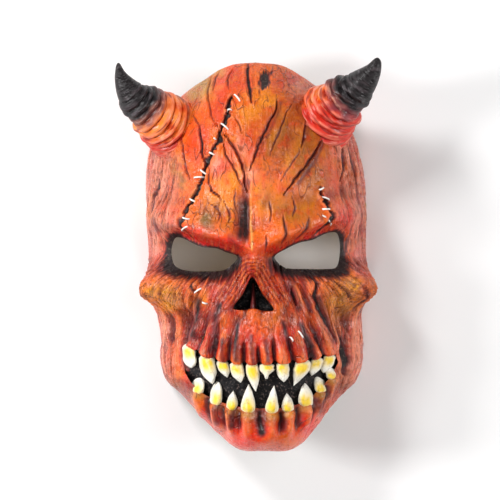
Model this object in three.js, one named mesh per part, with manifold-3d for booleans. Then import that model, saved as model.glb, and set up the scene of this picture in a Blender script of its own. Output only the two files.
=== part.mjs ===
// Demon mask: a costume mask for the front of the face, cast in one piece of latex with its horns and
// teeth, lying on its rim with the face up. X runs across the face, Y from the chin to the horns and
// Z out of the face, in millimetres. While it is shaped, the origin is the point between the eyes; at
// the end the middle of its footprint comes to the origin.
import * as THREE from 'three';
import { mergeVertices } from 'three/addons/utils/BufferGeometryUtils.js';
import Module from 'manifold-3d';

// Driving dimensions
const WALL = 2.3; // the latex skin at its thinnest
const FOREHEAD_EDGE = 133; // cut edge on the forehead
const CHIN = -136; // lowest point of the chin
const FACE_DEPTH = 88; // from the rim to the bridge of the nose
const MOUTH_DEPTH = 8; // mouth floor behind the gums
const NOSE_DEPTH = 11; // nose floor behind the nasal bone
const SOCKET_DEPTH = 9; // eye opening behind the brow
const TOOTH_PROUD = 1.6; // neck of a tooth in front of the gum
const HORN_WALL = 3.2;
const HORN_COLLARS = 7; // rings along each horn
const HORN_SIDES = 12;
const COLUMNS = 36; // facets across the face
const LINER_COLUMNS = 20; // facets across the hollow side

const wasm = await Module();
wasm.setup();

const { exp, hypot, min, max, abs, sin, cos, PI } = Math;
const { clamp, smoothstep, lerp } = THREE.MathUtils;

// Sections of the head form, from the forehead's edge down to the chin. Each gives the height, the half
// width at the rim, the centre's shift to the side, the height of the front and of the rim, and how
// blunt the section ends at the rim: 0.5 ends in an upright wall and 1 in a slope.
const SECTIONS = [
  [FOREHEAD_EDGE, 0, -1, 41, 41, 1],
  [131, 18, -1, 45, 39, 0.95],
  [121, 36, -1, 56, 32, 0.85],
  [108, 53, -1.5, 67, 22, 0.7],
  [90, 66, -2, 76, 10, 0.6],
  [72, 73, -2, 83, 1.5, 0.53],
  [52, 76, -1, 87, 0, 0.5],
  [24, 76.3, -0.3, 89, 0, 0.5],
  [0, 75.6, 0.3, FACE_DEPTH, 0, 0.5],
  [-22, 77, 1, 88, 0, 0.5],
  [-45, 70.5, 2, 88.5, 0, 0.5],
  [-62, 69, 3, 89, 0, 0.5],
  [-76, 69.5, 3.2, 90, 0, 0.5],
  [-87, 65, 3.2, 90, 4, 0.5],
  [-98, 54.5, 3.4, 89, 14, 0.5],
  [-110, 43.5, 3.8, 88, 27, 0.5],
  [-122, 33, 5.5, 84, 39, 0.5],
  [-130.5, 24.5, 6, 78, 47, 0.5],
  [-134.8, 15, 6, 70, 52, 0.5],
  [CHIN, 0, 6, 55, 55, 0.5],
];
const SECTION_POWER = 2.4; // fuller than an ellipse, as a face is

const sectionGap = (a, b) => hypot(a[0] - b[0], a[1] - b[1], a[3] - b[3]);
const PROFILE_LENGTH = SECTIONS.slice(1).reduce((sum, row, i) => sum + sectionGap(SECTIONS[i], row), 0);

// A smooth curve through rows of numbers, which gives the numbers of a row at any share of its length.
function curveThrough(rows, gap) {
  const stops = [0];
  for (let i = 1; i < rows.length; i += 1) stops.push(stops[i - 1] + gap(rows[i - 1], rows[i]));
  const total = stops[stops.length - 1];
  return (share) => {
    const at = clamp(share, 0, 1) * total;
    let i = 0;
    while (i < rows.length - 2 && stops[i + 1] < at) i += 1;
    const span = stops[i + 1] - stops[i];
    const t = (at - stops[i]) / span;
    return rows[i].map((start, k) => {
      const end = rows[i + 1][k];
      const straight = (end - start) / span;
      const before = i > 0 ? (end - rows[i - 1][k]) / (stops[i + 1] - stops[i - 1]) : straight;
      const after = i + 2 < rows.length ? (rows[i + 2][k] - start) / (stops[i + 2] - stops[i]) : straight;
      return (2 * t ** 3 - 3 * t ** 2 + 1) * start + (t ** 3 - 2 * t ** 2 + t) * span * before
        + (3 * t ** 2 - 2 * t ** 3) * end + (t ** 3 - t ** 2) * span * after;
    });
  };
}

const sectionCurve = curveThrough(SECTIONS, sectionGap);

function sectionAt(share) {
  const [y, halfWidth, centre, front, rim, bluntness] = sectionCurve(share);
  return { y, halfWidth, centre, front, rim: max(rim, 0), bluntness };
}

// The share of the way down the head form at which a height is reached.
function shareAtHeight(y) {
  let low = 0;
  let high = 1;
  for (let step = 0; step < 24; step += 1) {
    const middle = (low + high) / 2;
    if (sectionAt(middle).y > y) low = middle;
    else high = middle;
  }
  return (low + high) / 2;
}

// A point of the plain head form: across runs from -1 at the left rim to 1 at the right rim.
function formPoint(share, across) {
  const { y, halfWidth, centre, front, rim, bluntness } = sectionAt(share);
  const rise = (1 - min(abs(across), 1) ** SECTION_POWER) ** bluntness;
  return new THREE.Vector3(centre + halfWidth * across, y, rim + (front - rim) * rise);
}

const STEP = 0.004;

function formNormal(share, across) {
  const s = clamp(across, -0.99, 0.99);
  const v = clamp(share, 3 * STEP, 1 - 3 * STEP);
  const sideways = formPoint(v, s + STEP).sub(formPoint(v, s - STEP));
  const upwards = formPoint(v - STEP, s).sub(formPoint(v + STEP, s));
  return sideways.cross(upwards).normalize();
}

// Shapes of the relief, which is counted along the head form's normals
const bump = (x, y, cx, cy, rx, ry) => exp(-(((x - cx) / rx) ** 2) - ((y - cy) / ry) ** 2);

function distanceToPath(x, y, path) {
  let nearest = Infinity;
  for (let i = 0; i + 1 < path.length; i += 1) {
    const [ax, ay] = path[i];
    const dx = path[i + 1][0] - ax;
    const dy = path[i + 1][1] - ay;
    const t = clamp(((x - ax) * dx + (y - ay) * dy) / (dx * dx + dy * dy), 0, 1);
    nearest = min(nearest, hypot(x - ax - t * dx, y - ay - t * dy));
  }
  return nearest;
}

const stroke = (x, y, path, width) => exp(-((distanceToPath(x, y, path) / width) ** 2));

// How far a point of the front view lies inside a closed outline, below zero outside it.
function depthInside(x, y, outline) {
  let inside = false;
  for (let i = 0; i < outline.length; i += 1) {
    const [ax, ay] = outline[i];
    const [bx, by] = outline[(i + 1) % outline.length];
    if (ay > y !== by > y && x < ax + ((bx - ax) * (y - ay)) / (by - ay)) inside = !inside;
  }
  const edge = distanceToPath(x, y, [...outline, outline[0]]);
  return inside ? edge : -edge;
}

// Outlines in the front view, each counter-clockwise
const LEFT_EYE = [
  [-13.5, -1], [-21, 1.8], [-28, 4.6], [-38, 5.6], [-45, 8.5], [-51, 11.5], [-56, 12],
  [-58.5, 7], [-59, 0], [-56.5, -7.5], [-48, -10.8], [-36, -11.2], [-23, -10.3], [-16, -5.5],
];
const RIGHT_EYE = [
  [12, -1], [14.5, -5.5], [20.5, -9], [33, -9.6], [46, -9.7], [54.5, -8.5],
  [57, 0], [57, 9], [54.5, 15.5], [47, 14.6], [38, 10.4], [29, 8.4], [20, 4.2],
];
const NOSE = [[-3.4, -15.2], [-10, -27], [-16.3, -36.5], [-9, -37.8], [-2.5, -36.6], [4, -38.2], [11.4, -37.6], [4, -27]];
const UPPER_GUM = [
  [-52, -60.5], [-46, -64], [-39, -69.4], [-28, -72.8], [-16, -75], [0, -75.8],
  [13, -74.8], [26, -74.6], [37, -73], [46, -70.8], [54, -68.5],
];
const LOWER_GUM = [
  [-52.5, -80], [-46, -91.5], [-38, -99], [-28, -104], [-17, -107.3], [-6, -109],
  [10, -109.4], [21, -108.4], [34, -104.6], [44, -95.5], [51.5, -86.5], [56, -78],
];
const MOUTH = [...LOWER_GUM, ...[...UPPER_GUM].reverse()];

function heightOver(line, x) {
  let i = 0;
  while (i < line.length - 2 && line[i + 1][0] < x) i += 1;
  const [ax, ay] = line[i];
  const [bx, by] = line[i + 1];
  return lerp(ay, by, clamp((x - ax) / (bx - ax), 0, 1));
}

// Teeth from left to right: place, width and length in the front view, how far the tip leans to the
// right, and how blunt it is. The sixth upper tooth is broken off short.
const UPPER_TEETH = [
  { x: -46.9, width: 9.4, length: 14.5, lean: 1.3, blunt: 0.75 },
  { x: -34.8, width: 11.6, length: 17.5, lean: 3.2, blunt: 0.35 },
  { x: -23.8, width: 8.6, length: 10.5, lean: 3, blunt: 0.3 },
  { x: -14.1, width: 9.6, length: 12.5, lean: 2.8, blunt: 0.3 },
  { x: -3.4, width: 9.4, length: 18, lean: 2.4, blunt: 0.1 },
  { x: 6.7, width: 10.4, length: 7.5, lean: 0, blunt: 0.8 },
  { x: 17.6, width: 9.2, length: 12.5, lean: 0.8, blunt: 0.25 },
  { x: 31.6, width: 11.6, length: 16, lean: -5.6, blunt: 0.05 },
  { x: 41.4, width: 9, length: 11, lean: -3.4, blunt: 0.25 },
  { x: 49.8, width: 9, length: 11, lean: -3.2, blunt: 0.5 },
];
const LOWER_TEETH = [
  { x: -40.8, width: 8.4, length: 13, lean: 1.6, blunt: 0.6 },
  { x: -28.3, width: 8.6, length: 18.5, lean: 0.8, blunt: 0.45 },
  { x: -17.7, width: 8.4, length: 14, lean: 1.2, blunt: 0.2 },
  { x: -6.1, width: 10.2, length: 20.5, lean: 0.6, blunt: 0.1 },
  { x: 9.9, width: 9.8, length: 19.5, lean: 1.6, blunt: 0.1 },
  { x: 21.4, width: 8.8, length: 13, lean: -0.8, blunt: 0.2 },
  { x: 33.7, width: 10, length: 17, lean: -0.8, blunt: 0.3 },
  { x: 44, width: 8.6, length: 12.5, lean: -2.4, blunt: 0.5 },
  { x: 51.5, width: 7.4, length: 9, lean: -2.2, blunt: 0.6 },
];
const UPPER_ROOTS_MEET = [-3, 52]; // the upper roots fan out from here
const LOWER_ROOTS_MEET = [4, -240]; // and the lower ones run down towards here

// The ridge that a tooth's root raises on the gum.
function rootOf(tooth, gum, meet, length) {
  const neckY = heightOver(gum, tooth.x);
  const share = length / hypot(meet[0] - tooth.x, meet[1] - neckY);
  return {
    path: [[tooth.x, neckY], [lerp(tooth.x, meet[0], share), lerp(neckY, meet[1], share)]],
    width: tooth.width * 0.4,
  };
}

const ROOTS = [
  ...UPPER_TEETH.map((tooth) => rootOf(tooth, UPPER_GUM, UPPER_ROOTS_MEET, 20)),
  ...LOWER_TEETH.map((tooth) => rootOf(tooth, LOWER_GUM, LOWER_ROOTS_MEET, 11)),
];

const LEFT_BROW = [[-7, 7], [-20, 13], [-36, 18.5], [-52, 23.5], [-64, 25]];
const RIGHT_BROW = [[1.5, 7], [15, 13], [31, 19.5], [47, 26.5], [62, 29]];

// Folds of the skin: the path in the front view, the half width and the height, below zero for a cut.
const FOLDS = [
  { path: [[-7.4, 32], [-6.8, 10], [-4.8, -2]], width: 4.6, height: -3.6 },
  { path: [[-6, 34], [-17, 62], [-26, 82]], width: 5, height: -1.6 },
  { path: [[6, 36], [18, 66], [24, 84]], width: 5, height: -1.6 },
  { path: [[-51, -42], [-53, -60], [-51, -78]], width: 5, height: -4.5 },
  { path: [[59, -44], [62, -62], [60, -80]], width: 5, height: -4 },
  { path: [[-60, -38], [-64, -62], [-58, -86]], width: 5, height: 2.2 },
  { path: [[67, -38], [70, -62], [64, -84]], width: 5, height: 2.2 },
];

function reliefAt({ x, y, z }) {
  let height = 0;
  height += 6 * stroke(x, y, LEFT_BROW, 9) + 6 * stroke(x, y, RIGHT_BROW, 9);
  height += 3.5 * bump(x, y, -20, 12, 12, 13) + 3.5 * bump(x, y, 16, 13, 11, 13);
  for (const eye of [LEFT_EYE, RIGHT_EYE]) {
    height -= SOCKET_DEPTH * (1 - smoothstep(-depthInside(x, y, eye), 0.5, 10));
  }
  height += 4 * bump(x, y, -2.5, -6, 7, 13);
  height += 4 * stroke(x, y, [[-3, -8], [-23, -42]], 6) + 4 * stroke(x, y, [[-2, -8], [18, -43]], 6);
  const cheekbone = exp(-(((z - 46) / 26) ** 2));
  height += 12 * cheekbone * (bump(x, y, -72, -22, 20, 10.5) + bump(x, y, 73, -22, 20, 10.5));
  height += 4 * bump(x, y, -46, -24, 20, 8) + 4 * bump(x, y, 48, -23, 20, 8);
  height -= 6 * bump(x, y, -56, -46, 9, 13) + 6 * bump(x, y, 61, -43, 9, 13);
  height += 6.5 * bump(x, y, 1, -58, 42, 22) + 4.5 * bump(x, y, 3, -110, 36, 13);
  height += 4.5 * bump(x, y, 6, -124, 18, 8);
  height -= 2.5 * bump(x, y, -62, 50, 13, 26) + 2.5 * bump(x, y, 62, 48, 13, 26);
  for (const { path, width } of ROOTS) {
    height += 3.2 * stroke(x, y, path, width) - 1.1 * stroke(x, y, path, width * 2);
  }
  for (const fold of FOLDS) height += fold.height * stroke(x, y, fold.path, fold.width);
  return height;
}

const RIM_FADE = 16; // the relief runs out over this height above the rim

function raisedPoint(share, across, height) {
  return formPoint(share, across).addScaledVector(formNormal(share, across), height);
}

function facePoint(share, across, lift) {
  const p = formPoint(share, across);
  const fade = smoothstep(p.z - sectionAt(share).rim, 0, RIM_FADE);
  return raisedPoint(share, across, reliefAt(p) * fade + lift);
}

// The hollow side keeps clear of the deepest place around each of its corners.
const REACH = 4.5;

function linerPoint(share, across) {
  const p = formPoint(share, across);
  const fade = smoothstep(p.z - sectionAt(share).rim, 0, RIM_FADE);
  const normal = formNormal(share, across);
  let lowest = Infinity;
  for (let k = 0; k <= 8; k += 1) {
    const reach = k < 8 ? REACH : 0;
    const near = new THREE.Vector3(p.x + reach * cos((k * PI) / 4), p.y + reach * sin((k * PI) / 4), p.z);
    const height = reliefAt(near) * fade;
    near.addScaledVector(normal, height);
    const recess = MOUTH_DEPTH * smoothstep(depthInside(near.x, near.y, MOUTH), -1, 1)
      + (NOSE_DEPTH + 1) * smoothstep(depthInside(near.x, near.y, NOSE), -3, -1);
    lowest = min(lowest, height - recess);
  }
  return raisedPoint(share, across, lowest - WALL);
}

// The point of the face that shows at a place in the front view, and the way out of the face there.
function faceAt(x, y, lift) {
  let [formX, formY] = [x, y];
  let p;
  let normal;
  for (let step = 0; step < 6; step += 1) {
    const share = shareAtHeight(formY);
    const { halfWidth, centre } = sectionAt(share);
    const across = clamp((formX - centre) / halfWidth, -0.98, 0.98);
    p = facePoint(share, across, lift);
    normal = formNormal(share, across);
    formX += x - p.x;
    formY += y - p.y;
  }
  return { p, normal };
}

// Solids
function solidFromArrays(points, triangles) {
  return new wasm.Manifold(new wasm.Mesh({
    numProp: 3,
    vertProperties: new Float32Array(points),
    triVerts: new Uint32Array(triangles),
  }));
}

// A closed skin from a start point over a row of rings to an end point.
function skin(rings, start, end) {
  const all = [start, ...rings.flat(), end];
  const count = rings[0].length;
  const last = all.length - 1;
  const triangles = [];
  for (let k = 0; k < count; k += 1) {
    const next = (k + 1) % count;
    triangles.push(0, 1 + k, 1 + next);
    for (let j = 0; j + 1 < rings.length; j += 1) {
      const [here, below] = [1 + j * count, 1 + (j + 1) * count];
      const [a, b, c, d] = [here + k, below + k, below + next, here + next];
      const shorter = all[a].distanceTo(all[c]) < all[b].distanceTo(all[d]);
      triangles.push(...(shorter ? [a, b, c, a, c, d] : [a, b, d, b, c, d]));
    }
    triangles.push(last, last - count + next, last - count + k);
  }
  const points = all.flatMap((p) => p.toArray());
  const solid = solidFromArrays(points, triangles);
  return solid.volume() > 0 ? solid : solidFromArrays(points, triangles.reverse());
}

function solidFromGeometry(geometry) {
  geometry.deleteAttribute('normal');
  geometry.deleteAttribute('uv');
  const merged = mergeVertices(geometry, 1e-4);
  return solidFromArrays(merged.attributes.position.array, merged.index.array);
}

// Rows of facets down the face: step along the profile, down to a height. The rows over the mouth are
// wide, since the mouth is cut out of them.
const ROW_STEPS = [
  { downTo: 34, step: 7.6 },
  { downTo: -44, step: 4.8 },
  { downTo: -78, step: 5.4 },
  { downTo: -102, step: 8 },
  { downTo: CHIN - 1, step: 5.6 },
];

function rowShares(coarseness) {
  const shares = [];
  const end = 1 - 5 / PROFILE_LENGTH;
  let share = (6 * coarseness) / PROFILE_LENGTH;
  while (share < end) {
    shares.push(share);
    const { y } = sectionAt(share);
    const { step } = ROW_STEPS.find(({ downTo }) => y > downTo);
    share += (step * coarseness) / PROFILE_LENGTH;
  }
  return [...shares, end];
}

// Places across the face: even along the surface, but drawn together over the teeth.
const MUZZLE = 0.77;

function columnPlaces(columns, y) {
  const muzzle = smoothstep(-y, 20, 46) * (1 - smoothstep(-y, 118, 132));
  return Array.from({ length: columns + 1 }, (_, k) => {
    const t = (2 * k) / columns - 1;
    const even = lerp(t, sin((t * PI) / 2), 0.75);
    const beyond = (abs(t) - 0.8) / 0.2;
    const half = beyond > 0 ? lerp(MUZZLE, 1, sin((beyond * PI) / 2)) : (abs(t) / 0.8) * MUZZLE;
    return lerp(even, t < 0 ? -half : half, muzzle);
  });
}

// A solid under a surface of the face, closed behind at a drop below the rim.
function faceSolid({ columns, coarseness, pointAt, drop }) {
  const rings = rowShares(coarseness).map((share) => {
    const { y, rim } = sectionAt(share);
    const ring = columnPlaces(columns, y).map((across) => pointAt(share, across));
    const [left, right] = [ring[0], ring[ring.length - 1]];
    left.z = rim;
    right.z = rim;
    if (drop === 0) return ring;
    const behind = (p) => new THREE.Vector3(p.x, p.y, rim - drop);
    return [behind(left), ...ring, behind(right)];
  });
  const { rim: topRim } = sectionAt(0);
  const { rim: chinRim } = sectionAt(1);
  const top = pointAt(0, 0);
  const chin = pointAt(1, 0);
  return skin(rings, top.setZ(topRim - drop), chin.setZ(chinRim - drop));
}

function prism(outline, from, to) {
  const shape = new THREE.Shape(outline.map(([x, y]) => new THREE.Vector2(x, y)));
  const geometry = new THREE.ExtrudeGeometry(shape, { depth: to - from, bevelEnabled: false });
  geometry.translate(0, 0, from);
  return solidFromGeometry(geometry);
}

// The mouth goes down to a floor that follows the face.
function mouthCutter() {
  const underFloor = faceSolid({
    columns: LINER_COLUMNS,
    coarseness: 1.8,
    pointAt: (share, across) => raisedPoint(share, across, 4 - MOUTH_DEPTH),
    drop: 0,
  });
  return prism(MOUTH, 20, 140).subtract(underFloor);
}

// The nose narrows towards its floor, and its septum stands back from the nasal bone.
function noseCutter() {
  const { p } = faceAt(-2.5, -27, 0);
  const ringAt = (z, size) => NOSE.map(([x, y]) => new THREE.Vector3(
    lerp(-2.5, x, size),
    lerp(-29, y, size),
    z,
  ));
  const floor = p.z - NOSE_DEPTH;
  const rings = [ringAt(p.z + 30, 1), ringAt(p.z - 8, 1), ringAt(floor, 0.75)];
  return skin(rings, new THREE.Vector3(-2.5, -29, p.z + 30), new THREE.Vector3(-2.5, -29, floor));
}

function septum() {
  const stations = [
    { y: -19, half: 0.7, back: 9 },
    { y: -24, half: 1.1, back: 5.5 },
    { y: -37, half: 1.7, back: 2.5 },
    { y: -41, half: 1.7, back: 2.5 },
  ];
  const rings = stations.map(({ y, half, back }) => {
    const { p } = faceAt(-2.7, max(y, -34), 0);
    const floor = p.z - NOSE_DEPTH - 5;
    const ridge = p.z - back;
    return [[-2 * half, floor], [2 * half, floor], [half, ridge - 1], [0, ridge], [-half, ridge - 1]]
      .map(([x, z]) => new THREE.Vector3(x - 2.7, y, z));
  });
  const middle = (ring) => ring.reduce((sum, p) => sum.add(p), new THREE.Vector3()).divideScalar(ring.length);
  return skin(rings, middle(rings[0]), middle(rings[rings.length - 1]));
}

// A tooth is a flattened spike that stands on the gum line, its back sunk in the mouth's floor.
const TOOTH_LEVELS = [
  { along: -0.14, width: 0.6 },
  { along: 0.05, width: 0.96 },
  { along: 0.34, width: 1 },
  { along: 0.74, width: 0.54 },
];
const TOOTH_TURNS = [-PI / 2, -PI / 4, 0, PI / 4, PI / 2, PI]; // round the front, and one ridge behind
const TOOTH_DEPTH = MOUTH_DEPTH + 5;

function toothSolid(tooth, gum, direction) {
  const neckY = heightOver(gum, tooth.x);
  const { p: neck, normal } = faceAt(tooth.x, neckY, 0);
  const out = new THREE.Vector3(normal.x, 0, normal.z).normalize();
  const aside = new THREE.Vector3(out.z, 0, -out.x);
  const spine = (along) => {
    const bow = TOOTH_PROUD * (1 - 1.5 * max(along, 0) ** 2);
    const centre = neck.clone().addScaledVector(out, bow);
    centre.x += tooth.lean * max(along, 0) ** 1.5;
    centre.y += direction * along * tooth.length;
    return centre;
  };
  const rings = TOOTH_LEVELS.map(({ along, width }) => {
    const full = along > 0.5 ? lerp(width, 0.9, tooth.blunt) : width;
    const half = ((tooth.width / 2) * full) / out.z;
    return TOOTH_TURNS.map((turn) => spine(along)
      .addScaledVector(aside, half * sin(turn))
      .addScaledVector(out, (TOOTH_DEPTH / 2) * (cos(turn) - 1)));
  });
  const sunk = (along) => spine(along).addScaledVector(out, -TOOTH_DEPTH / 3);
  return skin(rings, sunk(-0.18), sunk(1));
}

// Horns: points along the middle with the radius, from inside the forehead to the tip.
const LEFT_HORN = [
  [-47, 79, 22, 20.5], [-55.5, 84.5, 36, 20.5], [-64.5, 91, 47, 19.6], [-72.5, 97, 56, 17], [-79, 102, 61, 14.2],
  [-86, 108, 66, 10.8], [-91, 114.5, 69, 8], [-94, 122, 71, 4.8], [-95.2, 128.5, 72, 2.4], [-95.4, 132.3, 72.4, 1.3],
];
const RIGHT_HORN = [
  [33, 80, 22, 22], [41.5, 87, 38, 22.6], [50.5, 96.5, 52, 21.8], [58.5, 103, 61, 19.4], [66, 109, 68, 16.4],
  [72, 114, 73, 12.6], [76.5, 120, 77, 9], [80, 127, 80, 5.6], [82.4, 133, 82, 2.8], [83, 137, 82.6, 1.4],
];

function hornSolid(stations, { shrink, until, sides, rings, collar }) {
  const at = curveThrough(stations, (a, b) => hypot(a[0] - b[0], a[1] - b[1], a[2] - b[2]));
  const middle = (t) => new THREE.Vector3(...at(t));
  const loops = Array.from({ length: rings }, (_, j) => {
    const t = (until * j) / (rings - 1);
    const axis = middle(t + 0.02).sub(middle(t - 0.02)).normalize();
    const side = new THREE.Vector3(0, 1, 0).cross(axis).normalize();
    const up = axis.clone().cross(side);
    const radius = max(at(t)[3] * (j % 2 ? 1 + collar : 1 - collar) - shrink, 0.8);
    return Array.from({ length: sides }, (_unused, k) => {
      const turn = (2 * PI * k) / sides;
      return middle(t).addScaledVector(side, radius * cos(turn)).addScaledVector(up, radius * sin(turn));
    });
  });
  return skin(loops, middle(0), middle(until + 0.015));
}

const hornOutside = (stations) => hornSolid(stations, {
  shrink: 0, until: 0.985, sides: HORN_SIDES, rings: 2 * HORN_COLLARS + 1, collar: 0.035,
});
const hornHollow = (stations) => hornSolid(stations, {
  shrink: HORN_WALL, until: 0.42, sides: 8, rings: 4, collar: 0,
});

// Holes for the strap, punched through the sides near the rim
const STRAP_HOLE_RADIUS = 2.2;
const STRAP_HOLE_Y = 34;
const STRAP_HOLE_Z = 11;

function strapHoles() {
  const pin = new THREE.CylinderGeometry(STRAP_HOLE_RADIUS, STRAP_HOLE_RADIUS, 240, 10);
  pin.rotateZ(PI / 2);
  pin.translate(0, STRAP_HOLE_Y, STRAP_HOLE_Z);
  return solidFromGeometry(pin);
}

function maskSolid() {
  const face = faceSolid({
    columns: COLUMNS,
    coarseness: 1,
    pointAt: (share, across) => facePoint(share, across, 0),
    drop: 0,
  });
  const hollow = faceSolid({ columns: LINER_COLUMNS, coarseness: 1.9, pointAt: linerPoint, drop: 8 });
  let solid = face.subtract(mouthCutter()).subtract(noseCutter()).add(septum());
  for (const tooth of UPPER_TEETH) solid = solid.add(toothSolid(tooth, UPPER_GUM, -1));
  for (const tooth of LOWER_TEETH) solid = solid.add(toothSolid(tooth, LOWER_GUM, 1));
  for (const horn of [LEFT_HORN, RIGHT_HORN]) solid = solid.add(hornOutside(horn));
  solid = solid.subtract(hollow);
  for (const horn of [LEFT_HORN, RIGHT_HORN]) solid = solid.subtract(hornHollow(horn));
  for (const eye of [LEFT_EYE, RIGHT_EYE]) solid = solid.subtract(prism(eye, 12, 140));
  return solid.subtract(strapHoles());
}

// Cuts leave a few edges far shorter than any form of the mask, which are closed up here.
const WELD = 0.006;

function toMesh(solid, name, material) {
  const { vertProperties, triVerts } = solid.getMesh();
  const cut = new THREE.BufferGeometry();
  cut.setAttribute('position', new THREE.BufferAttribute(vertProperties, 3));
  cut.setIndex(new THREE.BufferAttribute(triVerts, 1));
  const geometry = mergeVertices(cut, WELD);
  const corners = geometry.index.array;
  const kept = [];
  for (let i = 0; i < corners.length; i += 3) {
    const [a, b, c] = corners.subarray(i, i + 3);
    if (a !== b && b !== c && c !== a) kept.push(a, b, c);
  }
  geometry.setIndex(kept);
  geometry.computeVertexNormals();
  const mesh = new THREE.Mesh(geometry, material);
  mesh.name = name;
  return mesh;
}

const paintedLatex = new THREE.MeshStandardMaterial({ color: 0xc8461e, roughness: 0.5, metalness: 0 });
const mask = toMesh(maskSolid(), 'mask', paintedLatex);
mask.geometry.computeBoundingBox();
const footprint = mask.geometry.boundingBox.getCenter(new THREE.Vector3());
mask.position.set(-footprint.x, -footprint.y, 0);

const model = new THREE.Group();
model.add(mask);

export default model;
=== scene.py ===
import bpy
import numpy as np
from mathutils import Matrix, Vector


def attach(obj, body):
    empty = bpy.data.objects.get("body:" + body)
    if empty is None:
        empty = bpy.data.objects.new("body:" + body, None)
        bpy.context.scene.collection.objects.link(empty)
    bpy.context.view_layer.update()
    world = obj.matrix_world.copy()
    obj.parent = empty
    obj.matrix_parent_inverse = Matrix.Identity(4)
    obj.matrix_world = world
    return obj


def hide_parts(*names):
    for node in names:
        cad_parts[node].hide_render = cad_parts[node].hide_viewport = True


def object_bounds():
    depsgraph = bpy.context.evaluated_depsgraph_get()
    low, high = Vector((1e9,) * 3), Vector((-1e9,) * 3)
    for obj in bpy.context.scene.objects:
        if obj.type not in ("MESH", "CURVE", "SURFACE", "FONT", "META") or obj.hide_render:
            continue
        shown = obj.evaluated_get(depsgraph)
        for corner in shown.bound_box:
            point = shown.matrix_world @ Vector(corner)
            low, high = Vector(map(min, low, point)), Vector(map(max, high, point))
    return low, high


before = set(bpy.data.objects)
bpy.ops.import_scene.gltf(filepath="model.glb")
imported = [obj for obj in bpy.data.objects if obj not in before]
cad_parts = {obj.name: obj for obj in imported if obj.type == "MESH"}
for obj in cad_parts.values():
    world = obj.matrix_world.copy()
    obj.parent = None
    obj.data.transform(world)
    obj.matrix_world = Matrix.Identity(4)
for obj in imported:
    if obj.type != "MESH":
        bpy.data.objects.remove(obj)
cad_low, cad_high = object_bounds()
bpy.ops.object.select_all(action="DESELECT")

# Head form
# The sheet of latex follows a head that a sculptor built up over a skull: full sections from the cut edge
# on the forehead down to the chin, each ending at the rim.
MM = 0.001
# From between the eyes to the outer edge of the left horn, and up to the tip of the right horn
EYES_TO_LEFT_HORN = 98.46
EYES_TO_HORN_TIP = 137.0
BETWEEN_EYES = np.array([
    cad_low.x / MM + EYES_TO_LEFT_HORN,
    cad_high.y / MM - EYES_TO_HORN_TIP,
    0.0,
])

# Height, half width at the rim, shift to the side, height of the front, height of the rim, bluntness
SECTIONS = np.array([
    (133, 0, -1, 41, 41, 1),
    (131, 18, -1, 45, 39, 0.95),
    (121, 36, -1, 56, 32, 0.85),
    (108, 53, -1.5, 67, 22, 0.7),
    (90, 66, -2, 76, 10, 0.6),
    (72, 73, -2, 83, 1.5, 0.53),
    (52, 76, -1, 87, 0, 0.5),
    (24, 76.3, -0.3, 89, 0, 0.5),
    (0, 75.6, 0.3, 88, 0, 0.5),
    (-22, 77, 1, 88, 0, 0.5),
    (-45, 70.5, 2, 88.5, 0, 0.5),
    (-62, 69, 3, 89, 0, 0.5),
    (-76, 69.5, 3.2, 90, 0, 0.5),
    (-87, 65, 3.2, 90, 4, 0.5),
    (-98, 54.5, 3.4, 89, 14, 0.5),
    (-110, 43.5, 3.8, 88, 27, 0.5),
    (-122, 33, 5.5, 84, 39, 0.5),
    (-130.5, 24.5, 6, 78, 47, 0.5),
    (-134.8, 15, 6, 70, 52, 0.5),
    (-136, 0, 6, 55, 55, 0.5),
])
SECTION_POWER = 2.4


def curve_through(rows, lengths):
    """A smooth curve through rows of numbers, as a function of the share of its length."""
    stops = np.concatenate([[0], np.cumsum(lengths)])
    straight = np.diff(rows, axis=0) / np.diff(stops)[:, None]
    around = (rows[2:] - rows[:-2]) / (stops[2:] - stops[:-2])[:, None]
    slopes = np.concatenate([straight[:1], around, straight[-1:]])

    def at(share):
        distance = np.clip(share, 0, 1) * stops[-1]
        i = np.clip(np.searchsorted(stops, distance) - 1, 0, len(rows) - 2)
        span = (stops[i + 1] - stops[i])[..., None]
        t = (distance - stops[i])[..., None] / span
        return (
            (2 * t**3 - 3 * t**2 + 1) * rows[i]
            + (t**3 - 2 * t**2 + t) * span * slopes[i]
            + (3 * t**2 - 2 * t**3) * rows[i + 1]
            + (t**3 - t**2) * span * slopes[i + 1]
        )

    return at


SECTION_GAPS = np.linalg.norm(np.diff(SECTIONS[:, [0, 1, 3]], axis=0), axis=1)
section_curve = curve_through(SECTIONS, SECTION_GAPS)


def section_at(share):
    row = section_curve(np.asarray(share, float))
    y, half_width, centre, front, rim, bluntness = np.moveaxis(row, -1, 0)
    return y, half_width, centre, front, np.maximum(rim, 0), bluntness


def form_point(share, across):
    """A point of the plain head form, from -1 at the left rim to 1 at the right rim."""
    y, half_width, centre, front, rim, bluntness = section_at(share)
    rise = (1 - np.minimum(np.abs(across), 1) ** SECTION_POWER) ** bluntness
    return np.stack([centre + half_width * across, y + 0 * across, rim + (front - rim) * rise], -1)


def unit(vectors):
    return vectors / np.linalg.norm(vectors, axis=-1, keepdims=True)


def form_normal(share, across):
    step = 0.004
    s = np.clip(across, -0.99, 0.99)
    v = np.clip(share, 3 * step, 1 - 3 * step)
    sideways = form_point(v, s + step) - form_point(v, s - step)
    upwards = form_point(v - step, s) - form_point(v + step, s)
    return unit(np.cross(sideways, upwards))


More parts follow.
